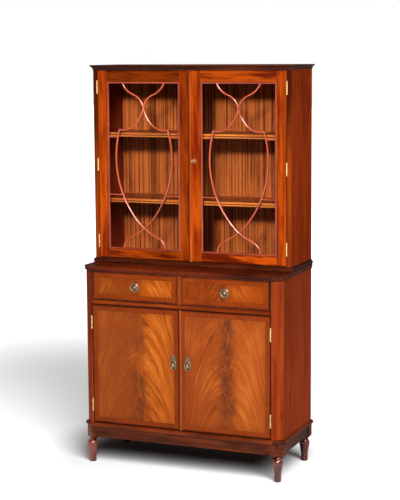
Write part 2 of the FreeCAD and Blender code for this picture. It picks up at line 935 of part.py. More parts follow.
class GlazedDoor:
    """Sizes of one glazed door; side is -1 for the left door and 1 for the right one."""

    def __init__(self, side):
        self.side = side
        self.hanging = glazed_hangings[side]
        self.outer_x = side * (upper_inner - door_edge_gap)
        self.meeting_x = -upper_meeting_offset + side * meeting_gap / 2
        meeting_width = right_meeting_stile_width if side > 0 else left_meeting_stile_width
        self.sight_outer_x = self.outer_x - side * hinge_stile_width
        self.sight_meeting_x = self.meeting_x + side * meeting_width
        self.sight_low = min(self.sight_outer_x, self.sight_meeting_x)
        self.sight_high = max(self.sight_outer_x, self.sight_meeting_x)
        self.sight_bottom = glazed_low_z + glazed_bottom_rail_width
        self.sight_top = glazed_high_z - glazed_top_rail_width
        self.glass_y = upper_front_y + sight_lip_thickness

    def clear(self):
        """Edges of the glass that shows inside the bead."""
        return (self.sight_low + sight_bead_width, self.sight_high - sight_bead_width,
                self.sight_bottom + sight_bead_width, self.sight_top - sight_bead_width)

    def frame(self):
        """Two full-height stiles and two rails between them, rebated behind for the glass."""
        ys = (upper_front_y, glazed_back_y)
        sight = slab((self.sight_low, self.sight_high), (ys[0] - overrun, ys[1] + overrun),
                     (self.sight_bottom, self.sight_top))
        rebate = slab((self.sight_low - glass_rebate_width, self.sight_high + glass_rebate_width),
                      (self.glass_y, ys[1] + overrun),
                      (self.sight_bottom - glass_rebate_width, self.sight_top + glass_rebate_width))
        members = [
            slab((self.outer_x, self.sight_outer_x), ys, (glazed_low_z, glazed_high_z)),
            slab((self.meeting_x, self.sight_meeting_x), ys, (glazed_low_z, glazed_high_z)),
            slab((self.sight_low, self.sight_high), ys, (self.sight_top, glazed_high_z)),
            slab((self.sight_low, self.sight_high), ys, (glazed_low_z, self.sight_bottom)),
        ]
        tools = [sight, rebate]
        members[0] = without(members[0], self.hanging.door_recesses())
        if self.side > 0:
            members[1] = without(members[1], [key_passage(self)])
        return group([without(member, tools) for member in members])

    def front_beads(self):
        """Rounded beads round the glass, mitred at the corners."""
        front = upper_front_y - sight_bead_proud
        half = sight_bead_width / 2
        low, high = self.sight_low, self.sight_high
        bottom, top = self.sight_bottom, self.sight_top
        inner = self.clear()
        bars = [
            (upright_bar(round_section, low + half, bottom, top, sight_bead_width, self.glass_y, front),
             [(low, bottom), (inner[0], inner[2]), (inner[0], inner[3]), (low, top)]),
            (upright_bar(round_section, high - half, bottom, top, sight_bead_width, self.glass_y, front),
             [(high, bottom), (high, top), (inner[1], inner[3]), (inner[1], inner[2])]),
            (level_bar(round_section, low, high, bottom + half, sight_bead_width, self.glass_y, front),
             [(low, bottom), (high, bottom), (inner[1], inner[2]), (inner[0], inner[2])]),
            (level_bar(round_section, low, high, top - half, sight_bead_width, self.glass_y, front),
             [(low, top), (inner[0], inner[3]), (inner[1], inner[3]), (high, top)]),
        ]
        beads = []
        for bar, outline in bars:
            mitre = door_plane_prism(outline, front - overrun, self.glass_y + overrun)
            beads.append(bar.common(mitre))
        return beads

    def glazing_strips(self):
        """Flat strips that hold the glass from behind."""
        back = self.glass_y + glass_thickness
        ys = (back, back + glazing_strip_depth)
        low = self.sight_low - glass_rebate_width
        high = self.sight_high + glass_rebate_width
        bottom = self.sight_bottom - glass_rebate_width
        top = self.sight_top + glass_rebate_width
        return [
            slab((low, self.sight_low), ys, (bottom, top)),
            slab((self.sight_high, high), ys, (bottom, top)),
            slab((self.sight_low, self.sight_high), ys, (bottom, self.sight_bottom)),
            slab((self.sight_low, self.sight_high), ys, (self.sight_top, top)),
        ]

    def glass(self):
        spread = glass_rebate_width - glass_edge_clearance
        return slab((self.sight_low - spread, self.sight_high + spread),
                    (self.glass_y, self.glass_y + glass_thickness),
                    (self.sight_bottom - spread, self.sight_top + spread))

    def tracery(self):
        """Interlaced glazing bars on the glass: two ogees over a tall pointed oval."""
        low, high, bottom, top = self.clear()
        width = high - low
        height = top - bottom
        middle = (low + high) / 2

        def at(point):
            return middle + point[0] * width, bottom + point[1] * height

        front = upper_front_y - tracery_bar_proud
        halves = []
        for way in (-1, 1):
            bars = []
            for shares, heading in ((ogee_shares, ogee_heading), (oval_shares, oval_heading)):
                points = [at((way * across, up)) for across, up in shares]
                angle = heading if way > 0 else math.pi - heading
                arcs = tangent_arcs(points, angle)
                bars.append(curved_bar(arcs, points[0], angle, tracery_bar_width, self.glass_y, front))
            for tie_share in tie_shares:
                z = bottom + tie_share * height
                x_edge = middle - way * (width + sight_bead_width) / 2
                ends = sorted((x_edge, arc_x_at(arcs[0], -way, z)))
                bars.append(level_bar(bevelled_section, ends[0], ends[1], z, tie_bar_width,
                                      self.glass_y, front))
            halves.append(joined(bars))
        return without(joined(halves), self.front_beads())

    def strike_plate(self):
        """Steel plate behind the meeting stile for the catch under the cabinet's top."""
        x = self.meeting_x + self.side * (catch_inset - catch_width / 2)
        z_high = glazed_high_z
        return slab((x, x + self.side * strike_width), (glazed_back_y, glazed_back_y + strike_thickness),
                    (z_high - strike_height, z_high))

    def hardware(self):
        return group(self.hanging.door_leaves() + [self.strike_plate()])


# Shares of the clear glass, across from its middle and up from its bottom.
# Both bars run a little way into the beads, which are cut out of them.
# The ogee bar starts under the top rail, crosses the middle and ends in the cusp of the oval.
ogee_shares = [(0.301, 1.006), (0.145, 0.934), (0.0, 0.857), (-0.104, 0.761), (-0.358, 0.722)]
ogee_heading = math.radians(250)
# The oval bar starts in the cusp, swings out and down, crosses low and ends on the bottom rail.
oval_shares = [(-0.347, 0.725), (-0.104, 0.168), (0.185, 0.07), (0.302, -0.006)]
oval_heading = math.radians(253)
# Short ties between the oval and the beads: height of each.
tie_shares = [0.677, 0.325]


def tangent_arcs(points, heading):
    """Chain of arcs through the points in a door's plane, each tangent to the one before."""
    edges = []
    for (x0, z0), (x1, z1) in zip(points, points[1:]):
        chord = math.hypot(x1 - x0, z1 - z0)
        aim = math.atan2(z1 - z0, x1 - x0)
        turn = math.remainder(aim - heading, 2 * math.pi)
        sagitta = chord / 2 * math.tan(turn / 2)
        middle = Vector((x0 + x1) / 2 + sagitta * math.sin(aim), 0,
                        (z0 + z1) / 2 - sagitta * math.cos(aim))
        edges.append(arc(Vector(x0, 0, z0), middle, Vector(x1, 0, z1)))
        heading = aim + turn
    return edges


def arc_x_at(edge, side, z):
    """Where an arc in a door's plane stands at one height, on one side of its centre."""
    circle = edge.Curve
    return circle.Center.x + side * math.sqrt(circle.Radius ** 2 - (z - circle.Center.z) ** 2)


def curved_bar(arcs, start, heading, width, back, front):
    """Bevelled glazing bar, swept along tangent arcs."""
    path = Part.Wire(arcs)
    x, z = start
    across = Vector(-math.sin(heading), 0, math.cos(heading))

    def place(offset, depth):
        return Vector(x, depth, z) + across * offset

    section = bevelled_section(place, width, back, front)
    return path.makePipeShell([section.OuterWire], True, True)


def meeting_bead(door_meeting_x, face_y, z_low, z_high):
    """Half-round strip down the meeting edge of a right-hand door."""
    centre = door_meeting_x + meeting_bead_width / 2
    return upright_bar(round_section, centre, z_low, z_high, meeting_bead_width, face_y,
                       face_y - meeting_bead_proud)


# Lock and key

def key_place(door):
    return door.meeting_x + door.side * key_inset, glazed_middle_z + key_above_middle


def keyhole_cut(door, y_start, y_end, radius):
    """Round hole for the shank with a slot below it that lets the bit pass."""
    x, z = key_place(door)
    hole = rod(Vector(x, y_start, z), Vector(0, 1, 0), radius, y_end - y_start)
    half_slot = key_bit_thickness / 2 + key_slot_clearance
    slot_foot = z - key_shank_radius - key_bit_height - key_slot_clearance
    slot = slab((x - half_slot, x + half_slot), (y_start, y_end), (slot_foot, z))
    return joined([hole, slot])


def key_passage(door):
    return keyhole_cut(door, upper_front_y - overrun, glazed_back_y + overrun, key_hole_radius)


def door_lock(door):
    """Escutcheon in front, hollow lock case behind the stile and its bolt drawn back inside."""
    x, z = key_place(door)
    bore_radius = key_shank_radius + key_clearance
    plate = rod(Vector(x, upper_front_y, z - escutcheon_drop), Vector(0, -1, 0), escutcheon_radius,
                escutcheon_thickness)
    plate_front = upper_front_y - escutcheon_thickness
    plate_cut = keyhole_cut(door, plate_front - overrun, upper_front_y + overrun, bore_radius)
    left = door.meeting_x + lock_wall
    xs = (left, left + lock_width)
    ys = (glazed_back_y, glazed_back_y + lock_depth)
    zs = (z - lock_height / 2, z + lock_height / 2)
    case = slab(xs, ys, zs)
    hollow = slab((xs[0] + lock_wall, xs[1] - lock_wall), (ys[0] + lock_wall, ys[1] - lock_wall),
                  (zs[0] + lock_wall, zs[1] - lock_wall))
    entry = keyhole_cut(door, ys[0] - overrun, ys[0] + lock_wall + overrun, bore_radius)
    bolt_x = xs[0] + lock_wall
    bolt_y = ys[0] + lock_wall
    bolt = slab((bolt_x, bolt_x + bolt_width), (bolt_y, bolt_y + bolt_thickness),
                (z - bolt_height / 2, z + bolt_height / 2))
    return group([without(plate, [plate_cut]), without(case, [hollow, entry]), bolt])


def door_key(door):
    """Steel key: pierced oval bow, round shank and a small bit inside the lock."""
    x, z = key_place(door)
    bow_y = upper_front_y - key_bow_distance
    bit_y = glazed_back_y + lock_wall + key_end_play
    shank_y = bow_y + key_bow_half_width - key_bow_rim
    shank_end = bit_y + key_bit_length + key_tip_length
    shank = rod(Vector(x, shank_y, z), Vector(0, 1, 0), key_shank_radius, shank_end - shank_y)
    bit_foot = z - key_bit_height - key_shank_radius
    bit = slab((x - key_bit_thickness / 2, x + key_bit_thickness / 2), (bit_y, bit_y + key_bit_length),
               (bit_foot, z))
    outer = oval_prism(x, bow_y, z, key_bow_half_width, key_bow_half_height, key_bow_thickness)
    hole = oval_prism(x, bow_y, z, key_bow_half_width - key_bow_rim, key_bow_half_height - key_bow_rim,
                      key_bow_thickness + 2 * overrun)
    return joined([without(outer, [hole]), shank, bit])


def oval_prism(x, y, z, half_y, half_z, thickness):
    """Flat oval standing upright in the depth direction, centred on a point."""
    centre = Vector(x - thickness / 2, y, z)
    ellipse = Part.Ellipse(centre + Vector(0, 0, half_z), centre + Vector(0, half_y, 0), centre)
    face = Part.Face(Part.Wire([ellipse.toShape()]))
    return face.extrude(Vector(thickness, 0, 0))


# Cupboard doors

class CupboardDoor:
    """Sizes of one cupboard door; side is -1 for the left door and 1 for the right one."""

    def __init__(self, side):
        self.side = side
        self.hanging = cupboard_hangings[side]
        self.outer_x = side * (post_inner - door_edge_gap)
        self.meeting_x = -lower_meeting_offset + side * meeting_gap / 2
        bead = meeting_bead_width if side > 0 else 0
        self.pull_x = self.meeting_x + side * (bead + drop_pull_inset)
        self.pull_z = base_bottom_z + drop_eye_height

    def panel(self):
        board = slab((self.outer_x, self.meeting_x), (base_front_y, cupboard_back_y),
                     (cupboard_low_z, cupboard_high_z))
        bolt = pull_bolt(self.pull_x, base_front_y, self.pull_z - drop_half_height, cupboard_door_thickness)
        return without(board, self.hanging.door_recesses() + [bolt])

    def strike_plate(self):
        x = self.meeting_x + self.side * (catch_inset - catch_width / 2)
        ys = (cupboard_back_y, cupboard_back_y + strike_thickness)
        return slab((x, x + self.side * strike_width), ys, (cupboard_high_z - strike_height, cupboard_high_z))

    def hardware(self):
        return group(self.hanging.door_leaves() + [self.strike_plate()])


# Pulls

def pull_bolt(x, face_y, z, wood_thickness):
    """Bolt that holds a pull through the wood behind it."""
    return rod(Vector(x, face_y, z), Vector(0, 1, 0), pull_bolt_radius, wood_thickness)


def eye(x, face_y, z, standoff, wire_radius):
    """Round eye on a stub, flat at both sides and bored crosswise for the ring that hangs in it."""
    centre = Vector(x, face_y - standoff, z)
    cheeks = slab((x - eye_half_width, x + eye_half_width),
                  (centre.y - eye_radius, centre.y + eye_radius), (z - eye_radius, z + eye_radius))
    ball = Part.makeSphere(eye_radius, centre).common(cheeks)
    stub = rod(Vector(x, face_y, z), Vector(0, -1, 0), wire_radius, standoff)
    bore_radius = wire_radius + eye_bore_clearance
    bore = rod(centre - Vector(eye_radius + overrun, 0, 0), Vector(1, 0, 0), bore_radius,
               2 * eye_radius + 2 * overrun)
    return without(joined([ball, stub]), [bore])


def turned_plate(x, face_y, z):
    """Round dished plate with a beaded rim and a domed centre, turned about its own axis."""
    neck_share = 0.82
    rim_bow_share = 0.5
    hollow_bow_share = 0.25
    neck_rise_share = 0.5
    neck = pull_boss_radius * neck_share
    neck_top = pull_boss_height * neck_rise_share
    dome_angle = math.atan2(pull_boss_height - neck_top, neck)
    dome_bow_share = math.tan(dome_angle / 2) / 2
    profile = profile_face([
        (0, 0, 0),
        (pull_plate_radius, 0, 0),
        (pull_plate_radius, pull_plate_thickness, rim_bow_share),
        (pull_plate_radius - pull_rim_width, pull_plate_thickness, 0),
        (pull_boss_radius, pull_plate_thickness, -hollow_bow_share),
        (neck, neck_top, dome_bow_share),
        (0, pull_boss_height, 0),
    ])
    plate = profile.revolve(Vector(0, 0, 0), Vector(0, 0, 1), 360)
    plate.rotate(Vector(0, 0, 0), Vector(1, 0, 0), 90)
    plate.translate(Vector(x, face_y, z))
    return plate


def ring_pull_plate(x, face_y, z, wood_thickness):
    ring_eye = eye(x, face_y, z + ring_radius, ring_standoff, ring_wire_radius)
    return joined([turned_plate(x, face_y, z), ring_eye, pull_bolt(x, face_y, z, wood_thickness)])


def ring(x, face_y, z):
    centre = Vector(x, face_y - ring_standoff, z)
    return Part.makeTorus(ring_radius, ring_wire_radius, centre, Vector(0, 1, 0))


def oval_plate(x, face_y, z, half_width, half_height, height):
    """Flat oval boss on a door's face."""
    if half_width > half_height:
        major, minor = Vector(x + half_width, face_y, z), Vector(x, face_y, z + half_height)
    else:
        major, minor = Vector(x, face_y, z + half_height), Vector(x + half_width, face_y, z)
    ellipse = Part.Ellipse(major, minor, Vector(x, face_y, z))
    face = Part.Face(Part.Wire([ellipse.toShape()]))
    return face.extrude(Vector(0, -height, 0))


def leaf_spray(x, face_y, z_foot):
    """Fan of five petals above the eye of a drop pull."""
    fan_step = 27.0
    side_shrink_share = 0.12
    petals = []
    for index in (-2, -1, 0, 1, 2):
        length = leaf_spray_height * (1 - side_shrink_share * index * index)
        petal = oval_plate(x, face_y, z_foot + length / 2, leaf_spray_petal_width / 2, length / 2,
                           leaf_spray_thickness)
        petal.rotate(Vector(x, face_y, z_foot), Vector(0, 1, 0), fan_step * index)
        petals.append(petal)
    return petals


def drop_pull_plate(door):
    """Cast plate: leaf spray on top, eye below it, then an oval with a raised oval centre."""
    x, z = door.pull_x, door.pull_z
    middle_z = z - drop_half_height
    drop_eye = eye(x, base_front_y, z, ring_standoff, drop_wire_radius)
    oval = oval_plate(x, base_front_y, middle_z, drop_plate_half_width, drop_plate_half_height,
                      pull_plate_thickness)
    boss = oval_plate(x, base_front_y, middle_z, drop_boss_half_width, drop_boss_half_height,
                      drop_boss_height)
    bolt = pull_bolt(x, base_front_y, middle_z, cupboard_door_thickness)
    return joined([oval, boss, drop_eye, bolt] + leaf_spray(x, base_front_y, z - eye_radius))


def drop(door):
    """Oval ring of four arcs that hangs in the eye of a drop pull."""
    x = door.pull_x
    y = base_front_y - ring_standoff
    middle_z = door.pull_z - drop_half_height
    end_offset = drop_half_height - drop_end_radius
    side_radius = (end_offset ** 2 + drop_half_width ** 2 - drop_end_radius ** 2)
    side_radius = side_radius / (2 * (drop_half_width - drop_end_radius))
    tilt = math.atan2(end_offset, side_radius - drop_half_width)
    join_x = drop_end_radius * math.cos(tilt)
    join_z = end_offset + drop_end_radius * math.sin(tilt)

    def at(across, up):
        return Vector(x + across, y, middle_z + up)

    edges = [
        arc(at(-join_x, join_z), at(0, drop_half_height), at(join_x, join_z)),
        arc(at(join_x, join_z), at(drop_half_width, 0), at(join_x, -join_z)),
        arc(at(join_x, -join_z), at(0, -drop_half_height), at(-join_x, -join_z)),
        arc(at(-join_x, -join_z), at(-drop_half_width, 0), at(-join_x, join_z)),
    ]
    start = edges[0].tangentAt(edges[0].FirstParameter)
    section = Part.Wire([Part.makeCircle(drop_wire_radius, at(-join_x, join_z), start)])
    return Part.Wire(edges).makePipeShell([section], True, True)


# Drawers

class Drawer:
    """Sizes of one drawer; side is -1 for the left drawer and 1 for the right one."""

    def __init__(self, side):
        self.side = side
        self.inner_x = side * (divider_width / 2 + drawer_gap)
        self.outer_x = side * (guide_inner - drawer_gap)
        self.low_z = rail_top_z + drawer_bottom_gap
        self.high_z = base_top_z - drawer_top_gap
        self.pull_x = (self.inner_x + self.outer_x) / 2
        self.pull_z = (self.low_z + self.high_z) / 2
        self.floor_z = rail_top_z + drawer_running_clearance
        self.box_top = self.floor_z + drawer_side_height
        self.front_back_y = base_front_y + drawer_front_thickness
        self.back_y = panel_front_y - drawer_back_room

    def front(self):
        """Veneered front with a cockbead let in all round."""
        ends = sorted((self.inner_x, self.outer_x))
        core_x = (ends[0] + cockbead_width, ends[1] - cockbead_width)
        core_z = (self.low_z + cockbead_width, self.high_z - cockbead_width)
        core = slab(core_x, (base_front_y, self.front_back_y), core_z)
        bolt = pull_bolt(self.pull_x, base_front_y, self.pull_z, drawer_front_thickness)
        ys = (base_front_y - cockbead_proud, self.front_back_y)
        beads = [
            slab((ends[0], core_x[0]), ys, core_z),
            slab((core_x[1], ends[1]), ys, core_z),
            slab(ends, ys, (self.low_z, core_z[0])),
            slab(ends, ys, (core_z[1], self.high_z)),
        ]
        return group([without(core, [bolt])] + beads)

    def inside(self):
        """Clear space between the sides, above the bottom."""
        ends = sorted((self.inner_x, self.outer_x))
        return (ends[0] + cockbead_width + drawer_side_thickness,
                ends[1] - cockbead_width - drawer_side_thickness)

    def box(self):
        """Lining: two sides that run on the dust board, a back and a bottom."""
        low, high = self.inside()
        ys = (self.front_back_y, self.back_y)
        zs = (self.floor_z, self.box_top)
        bottom_z = self.floor_z + drawer_bottom_rise
        return group([
            slab((low - drawer_side_thickness, low), ys, zs),
            slab((high, high + drawer_side_thickness), ys, zs),
            slab((low, high), (self.back_y - drawer_side_thickness, self.back_y),
                 (bottom_z + drawer_bottom_thickness, self.box_top)),
            slab((low, high), ys, (bottom_z, bottom_z + drawer_bottom_thickness)),
        ])


# Catches

def catch_body(side, meeting_x, back, ceiling_z):
    """Magnetic catch screwed under the board above a door."""
    x = meeting_x + side * (catch_inset - catch_width / 2 - (catch_width - strike_width) / 2)
    front = back + strike_thickness + catch_gap
    return slab((x, x + side * catch_width), (front, front + catch_depth),
                (ceiling_z - catch_height, ceiling_z))


# Assembly

glazed_doors = {side: GlazedDoor(side) for side in (-1, 1)}
cupboard_doors = {side: CupboardDoor(side) for side in (-1, 1)}
drawers = {side: Drawer(side) for side in (-1, 1)}
side_names = {-1: "left", 1: "right"}


def case_parts():
    hangings = list(glazed_hangings.values()) + list(cupboard_hangings.values())
    leaves = [solid for hanging in hangings for solid in hanging.case_leaves()]
    pins = [pin for hanging in hangings for pin in hanging.pins()]
    upper_catches = [catch_body(door.side, door.meeting_x, glazed_back_y, upper_top_z)
                     for door in glazed_doors.values()]
    lower_catches = [catch_body(door.side, door.meeting_x, cupboard_back_y, rail_bottom_z)
                     for door in cupboard_doors.values()]
    return {
        "cornice": cornice(),
        "upper_top_board": upper_top_board(),
        "upper_left_side": upper_side(-1),
        "upper_right_side": upper_side(1),
        "upper_bottom_board": upper_bottom_board(),
        "upper_back_panel": upper_back_panel(),
        "display_shelves": display_shelves(),
        "shelf_studs": shelf_studs(),
        "waist_moulding": waist_moulding(),
        "joining_screws": joining_screws(),
        "base_top_board": base_top_board(),
        "base_left_side": base_side(-1),
        "base_right_side": base_side(1),
        "corner_posts": group([corner_post(-1), corner_post(1)]),
        "base_back_panel": base_back_panel(),
        "base_bottom_board": base_bottom_board(),
        "front_rail": front_rail(),
        "drawer_divider": drawer_divider(),
        "dust_board": dust_board(),
        "drawer_guides": group([drawer_guide(-1), drawer_guide(1)]),
        "cupboard_shelf": cupboard_shelf(),
        "plinth_moulding": plinth_moulding(),
        "aprons": aprons(),
        "corner_blocks": corner_blocks(),
        "front_legs": group([turned_leg(-1, True), turned_leg(1, True)]),
        "rear_legs": group([turned_leg(-1, False), turned_leg(1, False)]),
        "case_hinge_leaves": group(leaves),
        "hinge_pins": group(pins),
        "door_catches": group(upper_catches + lower_catches),
    }


def glazed_door_parts(side):
    door = glazed_doors[side]
    name = "glazed_" + side_names[side]
    return {
        name + "_frame": door.frame(),
        name + "_beads": group(door.front_beads() + door.glazing_strips()),
        name + "_tracery": door.tracery(),
        name + "_glass": door.glass(),
        name + "_hinge_leaves": door.hardware(),
    }


def cupboard_door_parts(side):
    door = cupboard_doors[side]
    name = "cupboard_" + side_names[side]
    return {
        name + "_panel": door.panel(),
        name + "_hinge_leaves": door.hardware(),
        name + "_pull_plate": drop_pull_plate(door),
        name + "_drop": drop(door),
    }


def drawer_parts(side):
    drawer = drawers[side]
    name = "drawer_" + side_names[side]
    return {
        name + "_front": drawer.front(),
        name + "_box": drawer.box(),
        name + "_pull_plate": ring_pull_plate(drawer.pull_x, base_front_y, drawer.pull_z,
                                              drawer_front_thickness),
        name + "_ring": ring(drawer.pull_x, base_front_y, drawer.pull_z),
    }


def right_hand_extras():
    """What only the right-hand doors carry: meeting beads, lock and key."""
    glazed = glazed_doors[1]
    cupboard = cupboard_doors[1]
    return {
        "glazed_meeting_bead": meeting_bead(glazed.meeting_x, upper_front_y, glazed_low_z, glazed_high_z),
        "cupboard_meeting_bead": meeting_bead(cupboard.meeting_x, base_front_y, cupboard_low_z,
                                              cupboard_high_z),
        "door_lock": door_lock(glazed),
        "door_key": door_key(glazed),
    }


def all_parts():
    parts = case_parts()
    for side in (-1, 1):
        parts.update(glazed_door_parts(side))
        parts.update(cupboard_door_parts(side))
        parts.update(drawer_parts(side))
    parts.update(right_hand_extras())
    return parts


os.makedirs("parts", exist_ok=True)
for node, shape in all_parts().items():
    shape.exportStep("parts/" + node + ".step")
    print(node, len(shape.Solids), shape.isValid())
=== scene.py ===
# Dressed model of a mahogany display cabinet: glazed upper case on a cupboard base with drawers.
# Metres. Same place and axes as the CAD model: front towards -Y, floor at zero height.
import bpy
import bmesh
import math
from collections import defaultdict
from mathutils import Matrix, Vector


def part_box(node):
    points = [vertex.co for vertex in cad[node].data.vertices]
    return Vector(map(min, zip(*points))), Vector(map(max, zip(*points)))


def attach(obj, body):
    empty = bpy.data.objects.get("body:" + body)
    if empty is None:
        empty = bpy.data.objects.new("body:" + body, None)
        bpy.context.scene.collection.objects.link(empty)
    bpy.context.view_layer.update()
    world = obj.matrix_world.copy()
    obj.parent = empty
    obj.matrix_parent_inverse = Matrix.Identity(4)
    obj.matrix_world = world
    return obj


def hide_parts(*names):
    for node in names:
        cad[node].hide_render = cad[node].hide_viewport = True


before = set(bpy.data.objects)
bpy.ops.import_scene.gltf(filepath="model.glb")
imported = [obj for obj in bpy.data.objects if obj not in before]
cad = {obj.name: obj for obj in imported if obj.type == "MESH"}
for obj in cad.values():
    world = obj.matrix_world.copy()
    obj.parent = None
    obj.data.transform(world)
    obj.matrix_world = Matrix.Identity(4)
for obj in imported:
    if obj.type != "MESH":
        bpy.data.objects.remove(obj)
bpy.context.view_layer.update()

# Legs
# Four turned mahogany legs with a domed shoulder, a long taper, a ring and a small foot.
# Each has a tenon glued into its corner block. French polished a deep red-brown.


def tone(red, green, blue):
    """Colour as it is seen, from 0 to 255, turned into the renderer's own numbers."""
    shares = [level / 255 for level in (red, green, blue)]
    return (*(s / 12.92 if s <= 0.04045 else ((s + 0.055) / 1.055) ** 2.4 for s in shares), 1)


class Value:
    """Output of a node. A sum that is written with it becomes a node in its tree."""

    def __init__(self, socket):
        self.socket, self.tree = socket, socket.id_data

    __add__ = lambda self, other: reckon("ADD", self, other)
    __sub__ = lambda self, other: reckon("SUBTRACT", self, other)
    __rsub__ = lambda self, other: reckon("SUBTRACT", other, self)
    __mul__ = lambda self, other: reckon("MULTIPLY", self, other)
    __truediv__ = lambda self, other: reckon("DIVIDE", self, other)
    __lt__ = lambda self, other: reckon("LESS_THAN", self, other)
    __abs__ = lambda self: reckon("ABSOLUTE", self)


def feed(node, inputs):
    """Sets a node's inputs. Each is a plain value or another node's output."""
    for name, value in inputs.items():
        if isinstance(value, Value):
            value.tree.links.new(value.socket, node.inputs[name])
        else:
            node.inputs[name].default_value = value


def put(tree, kind, inputs=None, **settings):
    """Adds a node with its settings and inputs, and gives its outputs by place and by name."""
    made = tree.nodes.new(kind)
    for name, value in settings.items():
        setattr(made, name, value)
    feed(made, inputs or {})
    outputs = [Value(socket) for socket in made.outputs]
    return {**{value.socket.name: value for value in outputs}, **dict(enumerate(outputs))}


def reckon(operation, first, second=0.0):
    """One step of arithmetic. At least one of the two is a node's output."""
    tree = first.tree if isinstance(first, Value) else second.tree
    return put(tree, "ShaderNodeMath", {0: first, 1: second}, operation=operation)[0]


def fade(value, low, high, bottom=0.0, top=1.0):
    """Smooth step from bottom to top while the value goes from low to high."""
    return put(value.tree, "ShaderNodeMapRange", {
        "Value": value, "From Min": low, "From Max": high, "To Min": bottom, "To Max": top,
    }, interpolation_type="SMOOTHSTEP")[0]


def between(share, first, second):
    """Colour on the way from the first to the second."""
    return put(share.tree, "ShaderNodeMix", {0: share, 6: first, 7: second}, data_type="RGBA")[2]


def either(share, first, second):
    """Place: the first where the share is 0, the second where it is 1."""
    return put(share.tree, "ShaderNodeMix", {0: share, 4: first, 5: second}, data_type="VECTOR")[1]


def apart(place):
    """The three parts of a place."""
    return put(place.tree, "ShaderNodeSeparateXYZ", {0: place})


def together(*parts):
    """Place from its three parts, of which at least one is a node's output."""
    tree = next(part.tree for part in parts if isinstance(part, Value))
    return put(tree, "ShaderNodeCombineXYZ", dict(enumerate(parts)))[0]


def move(operation, place, by=(0, 0, 0)):
    """One step of arithmetic with a place."""
    return put(place.tree, "ShaderNodeVectorMath", {0: place, 1: by}, operation=operation)


def stretched(place, *along):
    """Place with each of its parts multiplied, so that a low number draws a pattern out."""
    return move("MULTIPLY", place, along)[0]


def cloud(place, scale, detail=2.0, rough=0.5, bend=0.0):
    """Value of a noise at a place, from 0 to 1."""
    return put(place.tree, "ShaderNodeTexNoise", {
        "Vector": place, "Scale": scale, "Detail": detail, "Roughness": rough, "Distortion": bend,
    })[0]


def start_group(name, takes, gives, kind="ShaderNodeTree"):
    """Empty node group. An input has a starting value, or the name of its kind."""
    group = bpy.data.node_groups.new(name, kind)
    for label, start in takes.items():
        if isinstance(start, str):
            group.interface.new_socket(label, in_out="INPUT", socket_type="NodeSocket" + start)
            continue
        word = {int: "Int", float: "Float"}.get(type(start)) or ("Vector", "Color")[len(start) - 3]
        socket = group.interface.new_socket(label, in_out="INPUT", socket_type="NodeSocket" + word)
        socket.default_value = start
    for label, word in gives.items():
        group.interface.new_socket(label, in_out="OUTPUT", socket_type="NodeSocket" + word)
    given = group.nodes.new("NodeGroupOutput")
    return group, put(group, "NodeGroupInput"), given


surface_outputs = {"Colour": "Color", "Relief": "Float", "Gloss": "Float"}


def make_straight_grain():
    """Straight mahogany grain along Z: ribbon streaks, slow cloudy tone and fine open pores."""
    group, takes, given = start_group("straight_grain", {
        "Place": (0, 0, 0), "Light": (1, 1, 1, 1), "Dark": (0, 0, 0, 1), "Streak count": 70.0,
        "Streak contrast": 1.0, "Waver": 0.045, "Figure contrast": 0.0, "Figure tilt": 0.12,
        "Cloud contrast": 1.0, "Pore depth": 0.5}, surface_outputs)
    # Marks per metre across the grain, and how far each kind is drawn out along it.
    fibre_count, fibre_stretch = 420.0, 0.03
    pore_count, pore_stretch = 900.0, 0.022
    cloud_count, cloud_stretch = 7.0, 0.28
    figure_count, figure_stretch = 34.0, 0.13
    fibre_contrast, whole_contrast = 0.35, 1.9
    place, part = takes["Place"], apart(takes["Place"])
    drawn_out = move("MULTIPLY", place, together(1.0, 1.0, takes["Waver"]))[0]
    streak = cloud(drawn_out, takes["Streak count"], 5.0, 0.6, 0.2)
    fibre = cloud(stretched(place, 1, 1, fibre_stretch), fibre_count, 3.0, 0.6)
    slow = cloud(stretched(place, 1, 1, cloud_stretch), cloud_count, 3.0, 0.55, 0.6)
    pore = fade(cloud(stretched(place, 1, 1, pore_stretch), pore_count, 1.0), 0.6, 0.72)
    lean = together(part[0] + part[2] * takes["Figure tilt"], part[1], part[2])
    figure = cloud(stretched(lean, 1, 1, figure_stretch), figure_count, 3.0, 0.6, 0.5)
    total = ((streak - 0.5) * takes["Streak contrast"] + (figure - 0.5) * takes["Figure contrast"]
             + (slow - 0.5) * takes["Cloud contrast"] + (fibre - 0.5) * fibre_contrast)
    wood = between(fade(total * whole_contrast + 0.5, 0.0, 1.0), takes["Dark"], takes["Light"])
    wood = between(pore * takes["Pore depth"], wood, tone(40, 12, 5))
    feed(given, {"Colour": wood, "Relief": fibre * 0.3 - pore, "Gloss": slow * 0.16 + pore * 0.25})
    return group


def make_polish_wear():
    """Arrises lightened in patches, partly wear and partly a painted highlight, faint bloom, and
    darker polish that has gathered in patches.
    """
    group, takes, given = start_group("polish_wear", {
        "Colour": (1, 1, 1, 1), "Place": (0, 0, 0), "Arris": 0.0, "Wear and glint": (1, 1, 1, 1),
        "Amount": 0.5}, {"Colour": "Color", "Gloss": "Float"})
    wear_and_glint_count, gathered_count, gathered_most = 18.0, 5.0, 0.18
    patches = cloud(takes["Place"], wear_and_glint_count, 4.0, 0.6)
    # Lightened arrises: partly wear, partly a painted highlight along the edges.
    rubbed = takes["Arris"] * fade(patches, 0.35, 0.62) * takes["Amount"]
    gathered = fade(cloud(takes["Place"], gathered_count, 3.0), 0.55, 0.8, 0.0, gathered_most)
    colour = between(gathered, takes["Colour"], tone(60, 22, 10))
    colour = between(rubbed, colour, takes["Wear and glint"])
    feed(given, {"Colour": colour, "Gloss": fade(patches, 0.3, 0.8) * 0.12})
    return group


